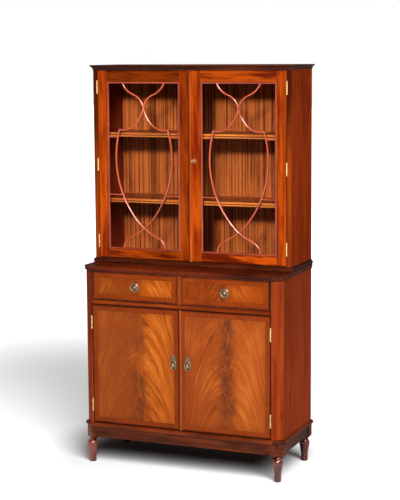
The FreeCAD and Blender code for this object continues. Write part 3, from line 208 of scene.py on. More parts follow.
def make_crossband():
    """Masks of a crossbanded border: band, dark line inside it, upright parts, and the rim that
    painted shade is laid along.
    """
    group, takes, given = start_group("crossband", {
        "Place": (0, 0, 0), "Left": 0.0, "Right": 0.0, "Bottom": 0.0, "Top": 0.0, "Width": 0.025,
        "Line width": 0.0016, "Rim width": 0.006,
    }, {"Band": "Float", "Line": "Float", "Upright": "Float", "Rim": "Float"})
    part = apart(takes["Place"])
    beside = reckon("MINIMUM", part[0] - takes["Left"], takes["Right"] - part[0])
    above = reckon("MINIMUM", part[2] - takes["Bottom"], takes["Top"] - part[2])
    inside = reckon("MINIMUM", beside, above)
    feed(given, {"Band": inside < takes["Width"], "Upright": beside < above,
                 "Line": fade(abs(inside - takes["Width"]), takes["Line width"], 0.0003),
                 "Rim": fade(inside, takes["Rim width"], 0.0008)})
    return group


straight_grain = make_straight_grain()
polish_wear = make_polish_wear()
crossband = make_crossband()


def placed(tree, group, inputs):
    """Puts a node group into a material."""
    return put(tree, "ShaderNodeGroup", inputs, node_tree=group)


def on_piece(tree):
    """Place on the piece, in metres."""
    return put(tree, "ShaderNodeTexCoord")["Object"]


def face_value(tree, label):
    """One of the values that eased_boards writes on each face."""
    return put(tree, "ShaderNodeAttribute", attribute_name=label)["Fac"]


def board_place(tree):
    """Place on a board, turned so that its grain runs along Z, and shifted board by board."""
    coords = on_piece(tree)
    lie, number, part = face_value(tree, "lie"), face_value(tree, "board"), apart(coords)
    turned = either(abs(lie - 1.0) < 0.5, coords, together(part[2], part[1], part[0]))
    turned = either(abs(lie - 2.0) < 0.5, turned, together(part[0], part[2], part[1]))
    return move("ADD", turned, together(number, number, number))[0], coords


def blank_finish(name):
    """New material with only its shader."""
    made = bpy.data.materials.new(name)
    made.use_nodes = True
    return made, made.node_tree, made.node_tree.nodes["Principled BSDF"]


def raised(relief, height):
    """Direction of a surface with a fine relief."""
    strength = 0.35
    return put(relief.tree, "ShaderNodeBump", {
        "Height": relief, "Strength": strength, "Distance": height})[0]


def polished_wood(name, light, dark, rubbed, shine, rough=0.34, streaks=60.0, streak_contrast=1.0,
                  cloud_contrast=1.0, pores=0.5, waver=0.045, figure=0.0, painted_shade_from=0.0, painted_shade_to=1.0,
                  painted_shade_share=0.0, rim_edges=None, rim_width=0.006):
    """French-polished mahogany with straight grain.

    A board's shade value darkens or brightens it. Painted shade may darken it towards the top,
    standing in for the shade under the cornice and the top board and for light that is weaker
    higher up. A rim of painted shade, for the gaps round a frame, with some darker polish along
    its edges, may run round a frame whose left, right, bottom and top are given.
    """
    wear_and_glint_share, rim_shade_share, grain_height, gloss_middle = 0.7, 0.75, 0.0002, 0.12
    made, tree, shader = blank_finish(name)
    place, coords = board_place(tree)
    grain = placed(tree, straight_grain, {
        "Place": place, "Light": tone(*light), "Dark": tone(*dark), "Streak count": streaks,
        "Streak contrast": streak_contrast, "Waver": waver, "Figure contrast": figure,
        "Cloud contrast": cloud_contrast, "Pore depth": pores})
    # The rubbed colour lightens the arrises, partly as wear and partly as a painted highlight.
    worn = placed(tree, polish_wear, {
        "Colour": grain["Colour"], "Place": coords, "Arris": face_value(tree, "arris"),
        "Wear and glint": tone(*rubbed), "Amount": wear_and_glint_share})
    level = face_value(tree, "shade") + 1.0
    # Painted shade: darker towards the top.
    if painted_shade_share:
        level = level * fade(apart(coords)[2], painted_shade_from, painted_shade_to, 1.0, 1.0 - painted_shade_share)
    colour = put(tree, "ShaderNodeVectorMath", {0: worn["Colour"], 3: level}, operation="SCALE")[0]
    # Painted shade along the rim, for the gaps round the piece, with some darker polish.
    if rim_edges:
        border = placed(tree, crossband, {"Place": coords, **rim_edges, "Rim width": rim_width})
        colour = between(border["Rim"] * rim_shade_share, colour, tone(52, 18, 8))
    feed(shader, {"Base Color": colour, "Specular IOR Level": shine,
                  "Roughness": grain["Gloss"] + worn["Gloss"] + (rough - gloss_middle),
                  "Normal": raised(grain["Relief"], grain_height)})
    return made


def in_microns(co):
    """Place of a corner in whole microns, the same for corners that coincide."""
    return tuple(round(c * 1e6) for c in co)


def solids_of(mesh):
    """Triangles of a CAD node grouped by solid.

    Two solids may share an edge; there the triangles with the nearest numbers belong together.
    """
    numbers = {}
    corner = [numbers.setdefault(in_microns(v.co), len(numbers)) for v in mesh.vertices]
    users = defaultdict(list)
    for face in mesh.polygons:
        ring = [corner[v] for v in face.vertices]
        for a, b in zip(ring, ring[1:] + ring[:1]):
            if a != b:
                users[(min(a, b), max(a, b))].append((face.index, a < b))
    leader = list(range(len(mesh.polygons)))

    def top(index):
        while leader[index] != index:
            leader[index] = leader[leader[index]]
            index = leader[index]
        return index

    for faces in users.values():
        forward = sorted(index for index, way in faces if way)
        backward = sorted(index for index, way in faces if not way)
        for a, b in zip(forward, backward):
            leader[top(a)] = top(b)
    groups = defaultdict(list)
    for face in mesh.polygons:
        groups[top(face.index)].append(face.index)
    return list(groups.values())


board_count = 0


def eased_boards(node, body, finish, arris=0.0008, lies=None, shade_of=None):
    """Copy of a CAD node with its arrises eased, as sanding leaves them, in the node's place.

    Each board gets four face values: its number, how it lies (0 upright, 1 level, 2 front to
    back), whether the face is an eased arris, and how much brighter the board is than its finish.
    shade_of gives the last one from the board's middle.
    """
    global board_count
    flat_limit, sharp_limit = math.radians(0.6), math.radians(30.0)
    grain_shift = 0.37
    source = cad[node].data
    whole = bmesh.new()
    layers = [whole.faces.layers.float.new(label) for label in ("board", "lie", "arris", "shade")]
    for count, faces in enumerate(solids_of(source)):
        board_count += 1
        work = bmesh.new()
        corners = {}
        for index in faces:
            ring = []
            for v in source.polygons[index].vertices:
                co = source.vertices[v].co
                key = in_microns(co)
                if key not in corners:
                    corners[key] = work.verts.new(co)
                ring.append(corners[key])
            if len(set(ring)) == 3:
                work.faces.new(ring)
        bmesh.ops.dissolve_limit(work, angle_limit=flat_limit, verts=work.verts, edges=work.edges)
        hard = [e for e in work.edges if e.is_manifold and e.calc_face_angle(0) > sharp_limit]
        eased = set()
        if arris > 0 and hard:
            made = bmesh.ops.bevel(work, geom=hard, offset=arris, segments=2, profile=0.5,
                                   affect="EDGES", clamp_overlap=True)
            eased = set(made["faces"])
        ends = [(min(v.co[axis] for v in work.verts), max(v.co[axis] for v in work.verts))
                for axis in range(3)]
        spans = [ends[axis][1] - ends[axis][0] for axis in (2, 0, 1)]
        lie = spans.index(max(spans)) if lies is None else lies[count]
        shade = shade_of(Vector([(low + high) / 2 for low, high in ends])) if shade_of else 0.0
        copies = {v: whole.verts.new(v.co) for v in work.verts}
        for face in work.faces:
            copy = whole.faces.new([copies[v] for v in face.verts])
            copy.smooth = True
            values = (board_count * grain_shift, lie, float(face in eased), shade)
            for layer, value in zip(layers, values):
                copy[layer] = value
        work.free()
    mesh = bpy.data.meshes.new(node + "_eased")
    whole.to_mesh(mesh)
    whole.free()
    rough = bpy.data.objects.new(node + "_rough", mesh)
    bpy.context.scene.collection.objects.link(rough)
    rough.modifiers.new("even", "WEIGHTED_NORMAL").weight = 100
    return place_piece(node + "_wood", made_plain(rough, True), body, finish, [node])


def made_plain(holder, keep_values=False):
    """Plain mesh of an object with its modifiers worked out. The object goes."""
    bpy.context.view_layer.update()
    graph = bpy.context.evaluated_depsgraph_get()
    mesh = bpy.data.meshes.new_from_object(holder.evaluated_get(graph), depsgraph=graph,
                                           preserve_all_data_layers=keep_values)
    bpy.data.objects.remove(holder)
    return mesh


def place_piece(name, mesh, body, finish, stands_for=()):
    """Puts a finished mesh on its body, with its finish."""
    mesh.materials.clear()
    mesh.materials.append(finish)
    piece = bpy.data.objects.new(name, mesh)
    bpy.context.scene.collection.objects.link(piece)
    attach(piece, body)
    if stands_for:
        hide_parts(*stands_for)
    return piece


def coat(finish, *nodes):
    """Gives CAD pieces their finish."""
    for node in nodes:
        cad[node].data.materials.clear()
        cad[node].data.materials.append(finish)


leg_polish = {"rough": 0.2, "streaks": 55.0, "streak_contrast": 1.5}
coat(polished_wood("leg_mahogany", (190, 84, 52), (88, 32, 18), (190, 110, 84), shine=0.8,
                   **leg_polish), "front_legs")
# Painted shade: the rear legs get a darker copy of the leg finish.
coat(polished_wood("shaded_rear_leg_mahogany", (146, 62, 38), (66, 24, 14), (150, 84, 62), shine=0.6,
                   **leg_polish), "rear_legs")

# Corner blocks, aprons and plinth moulding
# Dark mahogany plinth: a block over each leg with bevelled underside, aprons between the blocks,
# and a bold half-round moulding planted above them, mitred round the canted corners.


def shaded_side_length(middle):
    """Painted shade: the lengths along the sides are made darker than the front ones."""
    beside_front, side_shade = 0.45, -0.5
    return side_shade if abs(middle.x) > beside_front else 0.0


plinth_wood = polished_wood(
    "plinth_mahogany", (142, 64, 30), (60, 24, 12), (150, 96, 74), streaks=45.0, shine=0.08,
    rough=0.32)
bead_wood = polished_wood(
    "plinth_bead_mahogany", (156, 66, 24), (84, 30, 12), (160, 100, 76), streaks=45.0, shine=0.12,
    rough=0.24)
eased_boards("corner_blocks", "carcass", plinth_wood, lies=(1, 1, 1, 1))
eased_boards("aprons", "carcass", plinth_wood, shade_of=shaded_side_length)
eased_boards("plinth_moulding", "carcass", bead_wood, shade_of=shaded_side_length)

# Base carcass
# Veneered sides with vertical grain, canted corner posts, a divider and a rail between drawers
# and doors. Floor, back, dust board and guides are plain lining wood.


def front_edges(node):
    """Left, right, bottom and top of a node's face."""
    low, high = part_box(node)
    return {"Left": low[0], "Right": high[0], "Bottom": low[2], "Top": high[2]}


# Painted shade: the base sides and corner posts darken towards the top, under the top board.
side_wood = polished_wood(
    "side_mahogany", (184, 78, 42), (142, 54, 26), (180, 96, 64), streaks=120.0,
    streak_contrast=0.8, cloud_contrast=0.5, shine=0.0, rough=0.36, waver=0.012, painted_shade_from=0.35,
    painted_shade_to=0.92, painted_shade_share=0.24)
post_wood = polished_wood(
    "post_mahogany", (178, 72, 30), (130, 44, 16), (190, 96, 64), shine=0.02, painted_shade_from=0.4,
    painted_shade_to=0.92, painted_shade_share=0.26)
rail_tones = ((176, 76, 26), (116, 42, 14), (180, 100, 60))
rail_wood = polished_wood("rail_mahogany", *rail_tones, shine=0.02)
# Painted shade of the gaps above and below the rail, along its rim.
front_rail_wood = polished_wood(
    "front_rail_mahogany", *rail_tones, shine=0.02, rim_edges=front_edges("front_rail"))
lining_wood = polished_wood(
    "lining_wood", (198, 160, 108), (160, 120, 74), (210, 176, 130), streaks=40.0, pores=0.2,
    shine=0.05, rough=0.6)
stained_and_shaded_lining = polished_wood(
    "stained_and_shaded_lining", (96, 56, 30), (60, 32, 16), (110, 70, 44), streaks=40.0, pores=0.2,
    shine=0.02, rough=0.6)
eased_boards("base_left_side", "carcass", side_wood)
eased_boards("base_right_side", "carcass", side_wood)
eased_boards("corner_posts", "carcass", post_wood)
eased_boards("front_rail", "carcass", front_rail_wood, arris=0)
eased_boards("drawer_divider", "carcass", rail_wood, lies=(0,))
eased_boards("cupboard_shelf", "carcass", side_wood)
# The linings are stained dark; on the drawer guides, which show beside the drawers, the dark is
# also painted shade of those gaps.
for node in ("base_back_panel", "base_bottom_board", "dust_board", "drawer_guides"):
    eased_boards(node, "carcass", stained_and_shaded_lining, arris=0.0005)

# Top board of the base
# Solid board with canted corners and a moulded edge, screwed down on the sides. Dark polish
# that catches light only along its rounded nose.

top_wood = polished_wood(
    "top_board_mahogany", (118, 42, 13), (56, 15, 4), (150, 100, 80), streaks=50.0, shine=0.12,
    rough=0.24)
eased_boards("base_top_board", "carcass", top_wood, arris=0.0006)

# Drawers
# Each front is veneered with crotch mahogany, crossbanded and edged with a cockbead. The lining
# is dovetailed behind it and runs on the dust board.


def make_crotch_flame():
    """Crotch mahogany: soft arcs that fall away on both sides of a mottled spine."""
    group, takes, given = start_group("crotch_flame", {
        "Place": (0, 0, 0), "Spine": 0.0, "Fall": 0.45, "Droop": 55.0, "Stroke count": 30.0,
        "Left light": (1, 1, 1, 1), "Right light": (1, 1, 1, 1), "Dark": (0, 0, 0, 1),
        "Spine colour": (0, 0, 0, 1), "Left contrast": 1.0, "Right contrast": 1.0,
        "Spine share": 0.7, "Spine width": 0.05, "Glow place": (0, 0, 0),
        "Glow size": (0.1, 1, 0.1), "Glow": 0.0}, surface_outputs)
    # Marks per metre, and how far the arcs wander and ripple. half_gap keeps the patterns of the
    # two halves apart.
    wander_count, ripple_count, hair_count, broad_count = 5.0, 9.0, 150.0, 6.5
    mottle_count, patch_count, feathers_to_stroke = 42.0, 6.0, 2.6
    wander_reach, ripple_reach, half_gap = 0.05, 0.03, 3.7
    place, part = takes["Place"], apart(takes["Place"])
    wander = cloud(stretched(place, 0.3, 0, 1), wander_count, 2.0) - 0.5
    across = part[0] - takes["Spine"] + wander * wander_reach
    off = abs(across)
    steep = off * takes["Fall"] + reckon("POWER", off, 3.0) * takes["Droop"]
    arc = part[2] + steep + (cloud(place, ripple_count, 2.0) - 0.5) * ripple_reach
    right = fade(across, -0.015, 0.02)
    flat = together(across * 0.5, right * half_gap, arc)
    stroke = cloud(flat, takes["Stroke count"], 3.0, 0.55, 0.15)
    feather = cloud(stretched(flat, 0.6, 1, 1), takes["Stroke count"] * feathers_to_stroke, 2.0,
                    0.5, 0.1)
    hair = cloud(stretched(flat, 0.25, 1, 1), hair_count, 3.0, 0.6)
    broad = cloud(stretched(place, 1, 1, 0.6), broad_count, 3.0, 0.5, 0.4)
    mottle = cloud(stretched(place, 1, 1, 0.45), mottle_count, 4.0, 0.6, 1.2)
    patches = cloud(stretched(place, 0.5, 1, 1), patch_count, 2.0, 0.5)
    contrast = takes["Left contrast"] + right * (takes["Right contrast"] - takes["Left contrast"])
    light = between(right, takes["Left light"], takes["Right light"])
    strokes = (fade(stroke, 0.54, 0.36) + fade(feather, 0.34, 0.66, 0.45, -0.4)
               + fade(stroke, 0.56, 0.74, 0.0, -0.5))
    shadow = (strokes * contrast + fade(broad, 0.35, 0.7, -0.16, 0.24)
              + fade(hair, 0.2, 0.8, -0.16, 0.16))
    from_glow = move("DIVIDE", move("SUBTRACT", place, takes["Glow place"])[0], takes["Glow size"])
    glow = fade(move("LENGTH", from_glow[0])["Value"], 1.1, 0.2) * takes["Glow"]
    shadow = shadow - glow
    wood = between(shadow, light, takes["Dark"])
    wood = between(shadow * -1.0, wood, tone(246, 146, 58))
    spine = (fade(off / takes["Spine width"], 1.0, 0.15) * fade(mottle, 0.3, 0.58)
             * fade(patches, 0.36, 0.52, 0.25, 1.0) * takes["Spine share"])
    wood = between(spine, wood, takes["Spine colour"])
    feed(given, {"Colour": wood, "Relief": hair, "Gloss": stroke * 0.12 + 0.24})
    return group


crotch_flame = make_crotch_flame()


def veneered_front(name, node, flame_values, band_light, band_dark, line_colour):
    """Crotch veneer inside a crossbanded border, darker in a margin, with painted shade of the gap
    round the front, and some darker polish, along its rim.
    """
    rim_width, rim_shade_share, rim_shade_colour = 0.009, 0.95, tone(46, 16, 9)
    margin_width, margin_share, margin_colour = 0.07, 0.3, tone(104, 34, 10)
    line_share, wear_and_glint_share, grain_height = 0.55, 0.4, 0.0001
    made, tree, shader = blank_finish(name)
    place = on_piece(tree)
    part = apart(place)
    flame = placed(tree, crotch_flame, {"Place": place, **flame_values})
    edges = {"Place": place, **front_edges(node)}
    border = placed(tree, crossband, {**edges, "Rim width": rim_width})
    margin = placed(tree, crossband, {**edges, "Rim width": margin_width})
    turned = either(border["Upright"], place, together(part[2], part[1], part[0]))
    band = placed(tree, straight_grain, {
        "Place": turned, "Light": band_light, "Dark": band_dark, "Streak count": 90.0,
        "Streak contrast": 0.5, "Cloud contrast": 0.7, "Pore depth": 0.2})
    colour = between(border["Band"], flame["Colour"], band["Colour"])
    colour = between(border["Line"] * line_share, colour, line_colour)
    # Painted shade of the gap round the front, with some darker polish, along its rim.
    colour = between(border["Rim"] * rim_shade_share, colour, rim_shade_colour)
    colour = between(margin["Rim"] * margin_share, colour, margin_colour)
    # The arrises are lightened, partly as wear and partly as a painted highlight.
    worn = placed(tree, polish_wear, {
        "Colour": colour, "Place": place, "Arris": face_value(tree, "arris"),
        "Wear and glint": tone(170, 90, 50), "Amount": wear_and_glint_share})
    feed(shader, {"Base Color": worn["Colour"], "Roughness": flame["Gloss"],
                  "Specular IOR Level": 0.05, "Normal": raised(band["Relief"], grain_height)})
    return made


def second_finish(piece, finish, chosen):
    """Gives another finish to the faces that are chosen."""
    piece.data.materials.append(finish)
    for face in piece.data.polygons:
        if chosen(face):
            face.material_index = 1


cockbead_wood = polished_wood(
    "cockbead_mahogany", (112, 44, 16), (70, 24, 8), (180, 100, 60), shine=0.15, rough=0.24)
both_drawers = {"Fall": 1.2, "Droop": 12.0, "Stroke count": 44.0}
drawer_flames = {
    "left": {"Spine": -0.2, "Left light": tone(158, 70, 18), "Right light": tone(198, 88, 18),
             "Dark": tone(132, 50, 10), "Spine colour": tone(136, 58, 18), "Left contrast": 0.15,
             "Right contrast": 0.4, "Spine share": 0.6, "Spine width": 0.05,
             "Glow place": (-0.09, -0.2, 0.84), "Glow size": (0.09, 1.0, 0.08), "Glow": 0.25},
    "right": {"Spine": 0.21, "Left light": tone(166, 70, 16), "Right light": tone(188, 82, 18),
              "Dark": tone(124, 48, 12), "Spine colour": tone(112, 44, 14), "Left contrast": 0.45,
              "Right contrast": 0.2, "Spine share": 0.8, "Spine width": 0.055,
              "Glow place": (0.31, -0.2, 0.84), "Glow size": (0.08, 1.0, 0.08), "Glow": 0.2},
}
drawer_band = (tone(184, 78, 20), tone(148, 58, 14))
drawer_line = tone(96, 38, 12)
for side, flame_values in drawer_flames.items():
    node = "drawer_%s_front" % side
    veneer = veneered_front("drawer_%s_veneer" % side, node, {**both_drawers, **flame_values},
                            *drawer_band, drawer_line)
    front = eased_boards(node, "drawer_" + side, veneer, arris=0.0007,
                         lies=(1, 0, 0, 1, 1))
    numbers = front.data.attributes["board"].data
    core = numbers[0].value
    second_finish(front, cockbead_wood, lambda face: abs(numbers[face.index].value - core) > 0.01)
    eased_boards("drawer_%s_box" % side, "drawer_" + side, lining_wood, arris=0.0005)

# Cupboard doors
# Flat doors veneered with one sheet of crotch mahogany each, crossbanded all round. A half-round
# bead covers the joint and belongs to the right-hand door.

door_flames = {
    "left": {"Spine": -0.2, "Fall": 0.45, "Droop": 55.0, "Stroke count": 26.0,
             "Left light": tone(168, 78, 30), "Right light": tone(204, 98, 28),
             "Dark": tone(142, 60, 18), "Spine colour": tone(122, 60, 30), "Left contrast": 0.3,
             "Right contrast": 0.62, "Spine share": 0.9, "Spine width": 0.062,
             "Glow place": (-0.1, -0.2, 0.5), "Glow size": (0.09, 1.0, 0.28), "Glow": 0.3},
    "right": {"Spine": 0.23, "Fall": 0.45, "Droop": 50.0, "Stroke count": 24.0,
              "Left light": tone(182, 84, 32), "Right light": tone(196, 94, 34),
              "Dark": tone(136, 58, 22), "Spine colour": tone(120, 58, 32), "Left contrast": 0.45,
              "Right contrast": 0.3, "Spine share": 0.95, "Spine width": 0.06,
              "Glow place": (0.31, -0.2, 0.42), "Glow size": (0.09, 1.0, 0.24), "Glow": 0.25},
}
door_bands = {"left": (tone(172, 74, 26), tone(140, 56, 18)),
              "right": (tone(180, 78, 28), tone(150, 60, 20))}
door_line = tone(104, 44, 20)
skin = 0.001
for side, flame_values in door_flames.items():
    node = "cupboard_%s_panel" % side
    veneer = veneered_front("cupboard_%s_veneer" % side, node, flame_values, *door_bands[side],
                            door_line)
    panel = eased_boards(node, "cupboard_%s_door" % side, veneer, arris=0.0007,
                         lies=(0,))
    inner_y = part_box(node)[1][1]
    second_finish(panel, side_wood, lambda face: face.center.y > inner_y - skin)
door_bead_wood = polished_wood(
    "door_bead_mahogany", (196, 96, 36), (140, 56, 20), (206, 130, 80), shine=0.1, rough=0.3)
eased_boards("cupboard_meeting_bead", "cupboard_right_door", door_bead_wood, arris=0)

# Upper case
# Two sides, floor and top, with a ribbon-striped back panel in a rebate and two shelves on studs.
# The waist moulding is planted round its foot and the cornice round its top, both mitred.

upper_side_wood = polished_wood(
    "upper_side_mahogany", (164, 62, 24), (112, 36, 12), (170, 86, 52), streaks=110.0,
    streak_contrast=1.1, cloud_contrast=0.7, shine=0.0, rough=0.36, waver=0.012)
moulding_wood = polished_wood(
    "moulding_mahogany", (106, 42, 18), (44, 14, 6), (140, 90, 70), streaks=50.0, shine=0.08,
    rough=0.25)
back_wood = polished_wood(
    "striped_back", (222, 118, 54), (106, 44, 18), (190, 120, 60), streaks=150.0,
    streak_contrast=1.9, cloud_contrast=0.6, pores=0.6, shine=0.02, rough=0.42, waver=0.005)
# Painted light and shade: the reeded front edge of each shelf is much brighter than its darker
# top.
shelf_wood = polished_wood(
    "shelf_mahogany", (150, 68, 26), (100, 38, 12), (190, 110, 60), shine=0.1, rough=0.3)
lit_shelf_nosing = polished_wood(
    "lit_shelf_nosing", (244, 142, 58), (202, 100, 36), (240, 160, 90), shine=0.2, rough=0.3)
# Painted shade: the front edges of the upper sides darken strongly towards the top, under the
# cornice.
lipping_wood = polished_wood(
    "lipping_mahogany", (170, 70, 18), (110, 38, 8), (180, 96, 50), shine=0.03, painted_shade_from=1.3,
    painted_shade_to=1.76, painted_shade_share=0.8)
for node in ("upper_left_side", "upper_right_side"):
    panel = eased_boards(node, "carcass", upper_side_wood)
    front_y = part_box(node)[0][1]
    second_finish(panel, lipping_wood, lambda face: face.center.y < front_y + 2 * skin)
eased_boards("upper_top_board", "carcass", moulding_wood)
eased_boards("upper_bottom_board", "carcass", upper_side_wood, arris=0.0005)
back = eased_boards("upper_back_panel", "carcass", back_wood, arris=0, lies=(0,))
rear_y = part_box("upper_back_panel")[1][1]
second_finish(back, stained_and_shaded_lining, lambda face: face.center.y > rear_y - skin)

# Painted shade in the groove between the two reeds of each shelf edge, and under the lower reed.
groove_heights, lower_reed, edge_reach = (1.52125, 1.21725), 0.0072, 0.011
nosing_shader = lit_shelf_nosing.node_tree.nodes["Principled BSDF"]
nosing_colour = Value(nosing_shader.inputs["Base Color"].links[0].from_socket)
nosing_height = apart(on_piece(lit_shelf_nosing.node_tree))[2]
for groove_z in groove_heights:
    off_groove = abs(nosing_height - groove_z)
    groove = fade(off_groove, 0.0032, 0.0012, 0.0, 0.9)
    nosing_colour = between(groove, nosing_colour, tone(52, 20, 8))
    under = fade(nosing_height + lower_reed, groove_z, groove_z - 0.0015)
    nosing_colour = between(under * (off_groove < edge_reach), nosing_colour, tone(60, 22, 8))
feed(nosing_shader, {"Base Color": nosing_colour})


def shelf_shade(middle):
    """The lower shelf is a little brighter than the upper one."""
    between_shelves, lighter_by = 1.3, 0.12
    return lighter_by if middle.z < between_shelves else 0.0


nosing_depth = 0.006
shelves = eased_boards("display_shelves", "carcass", shelf_wood, arris=0.0006,
                       shade_of=shelf_shade)
shelf_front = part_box("display_shelves")[0][1]
second_finish(shelves, lit_shelf_nosing, lambda face: face.center.y < shelf_front + nosing_depth)
eased_boards("waist_moulding", "carcass", moulding_wood, arris=0.0005,
             shade_of=shaded_side_length)
eased_boards("cornice", "carcass", moulding_wood, arris=0.0006)

# Glazed door frames
# Stiles and rails of straight-grained mahogany, tenoned together, with a rounded bead round the
# sight edge and plain strips that hold the pane from behind.

sides = ("left", "right")
# How much brighter or darker the top rail, bottom rail, left stile and right stile are.
door_shades = {"left": (-0.58, -0.36, 0.1, -0.25), "right": (-0.18, -0.04, 0.08, 0.0)}


def frame_shade(side):
    """Picks a board's shade from where its middle lies in the door frame."""
    low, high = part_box("glazed_%s_frame" % side)
    centre = (Vector(low) + Vector(high)) / 2

    def pick(middle):
        across, up = middle.x - centre.x, middle.z - centre.z
        if abs(up) > abs(across):
            return door_shades[side][0 if up > 0 else 1]
        return door_shades[side][2 if across < 0 else 3]
    return pick


# Painted shade: the meeting bead and the door frames darken towards the top.
meeting_wood = polished_wood(
    "meeting_bead_mahogany", (224, 104, 34), (170, 62, 16), (230, 130, 70), shine=0.05, rough=0.3,
    painted_shade_from=1.1, painted_shade_to=1.8, painted_shade_share=0.3)
sight_wood = polished_wood(
    "sight_bead_mahogany", (190, 76, 44), (144, 48, 26), (208, 120, 84), streaks=80.0, shine=0.6,
    rough=0.2)
for side in sides:
    body, frame_node = "glazed_%s_door" % side, "glazed_%s_frame" % side
    # Painted shade towards the top, and a rim of painted shade along the gaps round each frame,
    # with some darker polish.
    polish_and_painted_shade = {"shine": 0.03, "painted_shade_from": 1.1, "painted_shade_to": 1.8, "painted_shade_share": 0.2,
                  "rim_edges": front_edges(frame_node), "rim_width": 0.007}
    stile_wood = polished_wood(
        "stile_%s_mahogany" % side, (212, 86, 14), (132, 34, 4), (200, 100, 46),
        streak_contrast=1.1, cloud_contrast=1.3, figure=0.7, **polish_and_painted_shade)
    rail_wood = polished_wood(
        "rail_%s_mahogany" % side, (228, 92, 16), (116, 30, 4), (200, 100, 46), streaks=44.0,
        streak_contrast=1.7, cloud_contrast=1.5, waver=0.1, figure=1.0, **polish_and_painted_shade)
    door_frame = eased_boards(frame_node, body, stile_wood, shade_of=frame_shade(side))
    lies = door_frame.data.attributes["lie"].data
    second_finish(door_frame, rail_wood, lambda face: abs(lies[face.index].value - 1.0) < 0.5)
    eased_boards("glazed_%s_beads" % side, body, sight_wood, arris=0)
eased_boards("glazed_meeting_bead", "glazed_right_door", meeting_wood, arris=0)

# Glass
# One clear pane to each door, bedded in the rebate behind the beads. Old drawn glass, with a
# slow wave and a faint film.

pane, pane_tree, pane_shader = blank_finish("clear_pane")
pane_place = on_piece(pane_tree)
pane_wave = cloud(pane_place, 6.0, 1.0)
pane_film = cloud(pane_place, 22.0, 4.0, 0.6)
feed(pane_shader, {
    "Base Color": between(pane_wave, tone(236, 244, 240), tone(246, 250, 248)),
    "Roughness": fade(pane_film, 0.5, 0.85, 0.015, 0.05), "Transmission Weight": 1.0, "IOR": 1.45,
    "Alpha": 0.025, "Normal": raised(pane_wave, 0.0004)})
coat(pane, "glazed_left_glass", "glazed_right_glass")

# Tracery
# Glazing bars of moulded mahogany laid on the pane: two ogees that cross above a tall pointed
# oval, whose arms cross again below, and four short ties to the sight beads.


def finish_geometry(given, geometry, finish):
    """Last steps of a geometry tree: smooth, real faces with their finish."""
    tree = geometry.tree
    smooth = put(tree, "GeometryNodeSetShadeSmooth", {"Geometry": geometry, "Shade Smooth": True})
    real = put(tree, "GeometryNodeRealizeInstances", {"Geometry": smooth[0]})
    done = put(tree, "GeometryNodeSetMaterial", {"Geometry": real[0], "Material": finish})
    feed(given, {"Geometry": done[0]})


def make_bar_sweep():
    """Sweeps a flat-backed bar with a rounded nose along every curve that it is given."""
    group, takes, given = start_group("bar_sweep", {
        "Geometry": "Geometry", "Bar width": 0.0076, "Bar depth": 0.0086, "Cheek share": 0.45,
        "Step length": 0.005, "Finish": "Material"}, {"Geometry": "Geometry"}, "GeometryNodeTree")
    even = put(group, "GeometryNodeResampleCurve", {
        "Curve": takes["Geometry"], "Length": takes["Step length"]}, mode="LENGTH")
    facing = put(group, "GeometryNodeSetCurveNormal", {"Curve": even[0], "Normal": (0, -1, 0)},
                 mode="FREE")
    ring = put(group, "GeometryNodeCurvePrimitiveCircle", {"Resolution": 20, "Radius": 1.0})
    part = apart(put(group, "GeometryNodeInputPosition")[0])
    cheek = takes["Bar depth"] * takes["Cheek share"]
    nose = takes["Bar depth"] - cheek
    behind = part[0] < -0.01
    before = 1.0 - behind
    depth = (cheek + reckon("MAXIMUM", part[0], 0.0) * nose) * before
    across = part[1] * before + reckon("SIGN", part[1]) * behind
    shaped = together(depth, across * (takes["Bar width"] * 0.5), 0.0)
    profile = put(group, "GeometryNodeSetPosition", {"Geometry": ring[0], "Position": shaped})
    swept = put(group, "GeometryNodeCurveToMesh", {
        "Curve": facing[0], "Profile Curve": profile[0], "Fill Caps": True})
    finish_geometry(given, swept[0], takes["Finish"])
    return group


def worked_out(name, source, tree, values):
    """Plain mesh made by a geometry tree from a curve or mesh."""
    holder = bpy.data.objects.new(name + "_source", source)
    bpy.context.scene.collection.objects.link(holder)
    modifier = holder.modifiers.new("shape", "NODES")
    modifier.node_group = tree
    for item in tree.interface.items_tree:
        if item.in_out == "INPUT" and item.name in values:
            modifier[item.identifier] = values[item.name]
    mesh = made_plain(holder)
    mesh.name = name
    return mesh


bar_sweep = make_bar_sweep()

# Shares of the clear glass, across from its middle and up from its bottom.
ogee_shares = [(0.301, 1.006), (0.145, 0.934), (0.0, 0.857), (-0.104, 0.761), (-0.358, 0.722)]
ogee_heading = math.radians(250)
oval_shares = [(-0.347, 0.725), (-0.104, 0.168), (0.185, 0.07), (0.302, -0.006)]
oval_heading = math.radians(253)
tie_shares = [0.677, 0.325]
rebate, bead_width = 0.007, 0.0086
bar_width, bar_depth = 0.0074, 0.0088
tie_width, tie_depth = 0.006, bar_depth * 0.93


def arc_points(points, heading):
    """Points along arcs that run through the given ones, each tangent to the one before."""
    pace = 0.004
    course = [Vector(points[0])]
    for start, end in zip(points, points[1:]):
        chord = Vector(end) - Vector(start)
        aim = math.atan2(chord.y, chord.x)
        turn = math.remainder(aim - heading, 2 * math.pi)
        count = max(2, round(chord.length / pace))
        radius = chord.length / (2 * math.sin(turn)) if abs(turn) > 0.0001 else None
        for index in range(1, count + 1):
            share = index / count
            if radius is None:
                course.append(Vector(start) + chord * share)
                continue
            swing = heading + turn * share
            reach = 2 * radius * math.sin(turn * share)
            course.append(Vector(start) + Vector((math.cos(swing), math.sin(swing))) * reach)
        heading = aim + turn
    return course


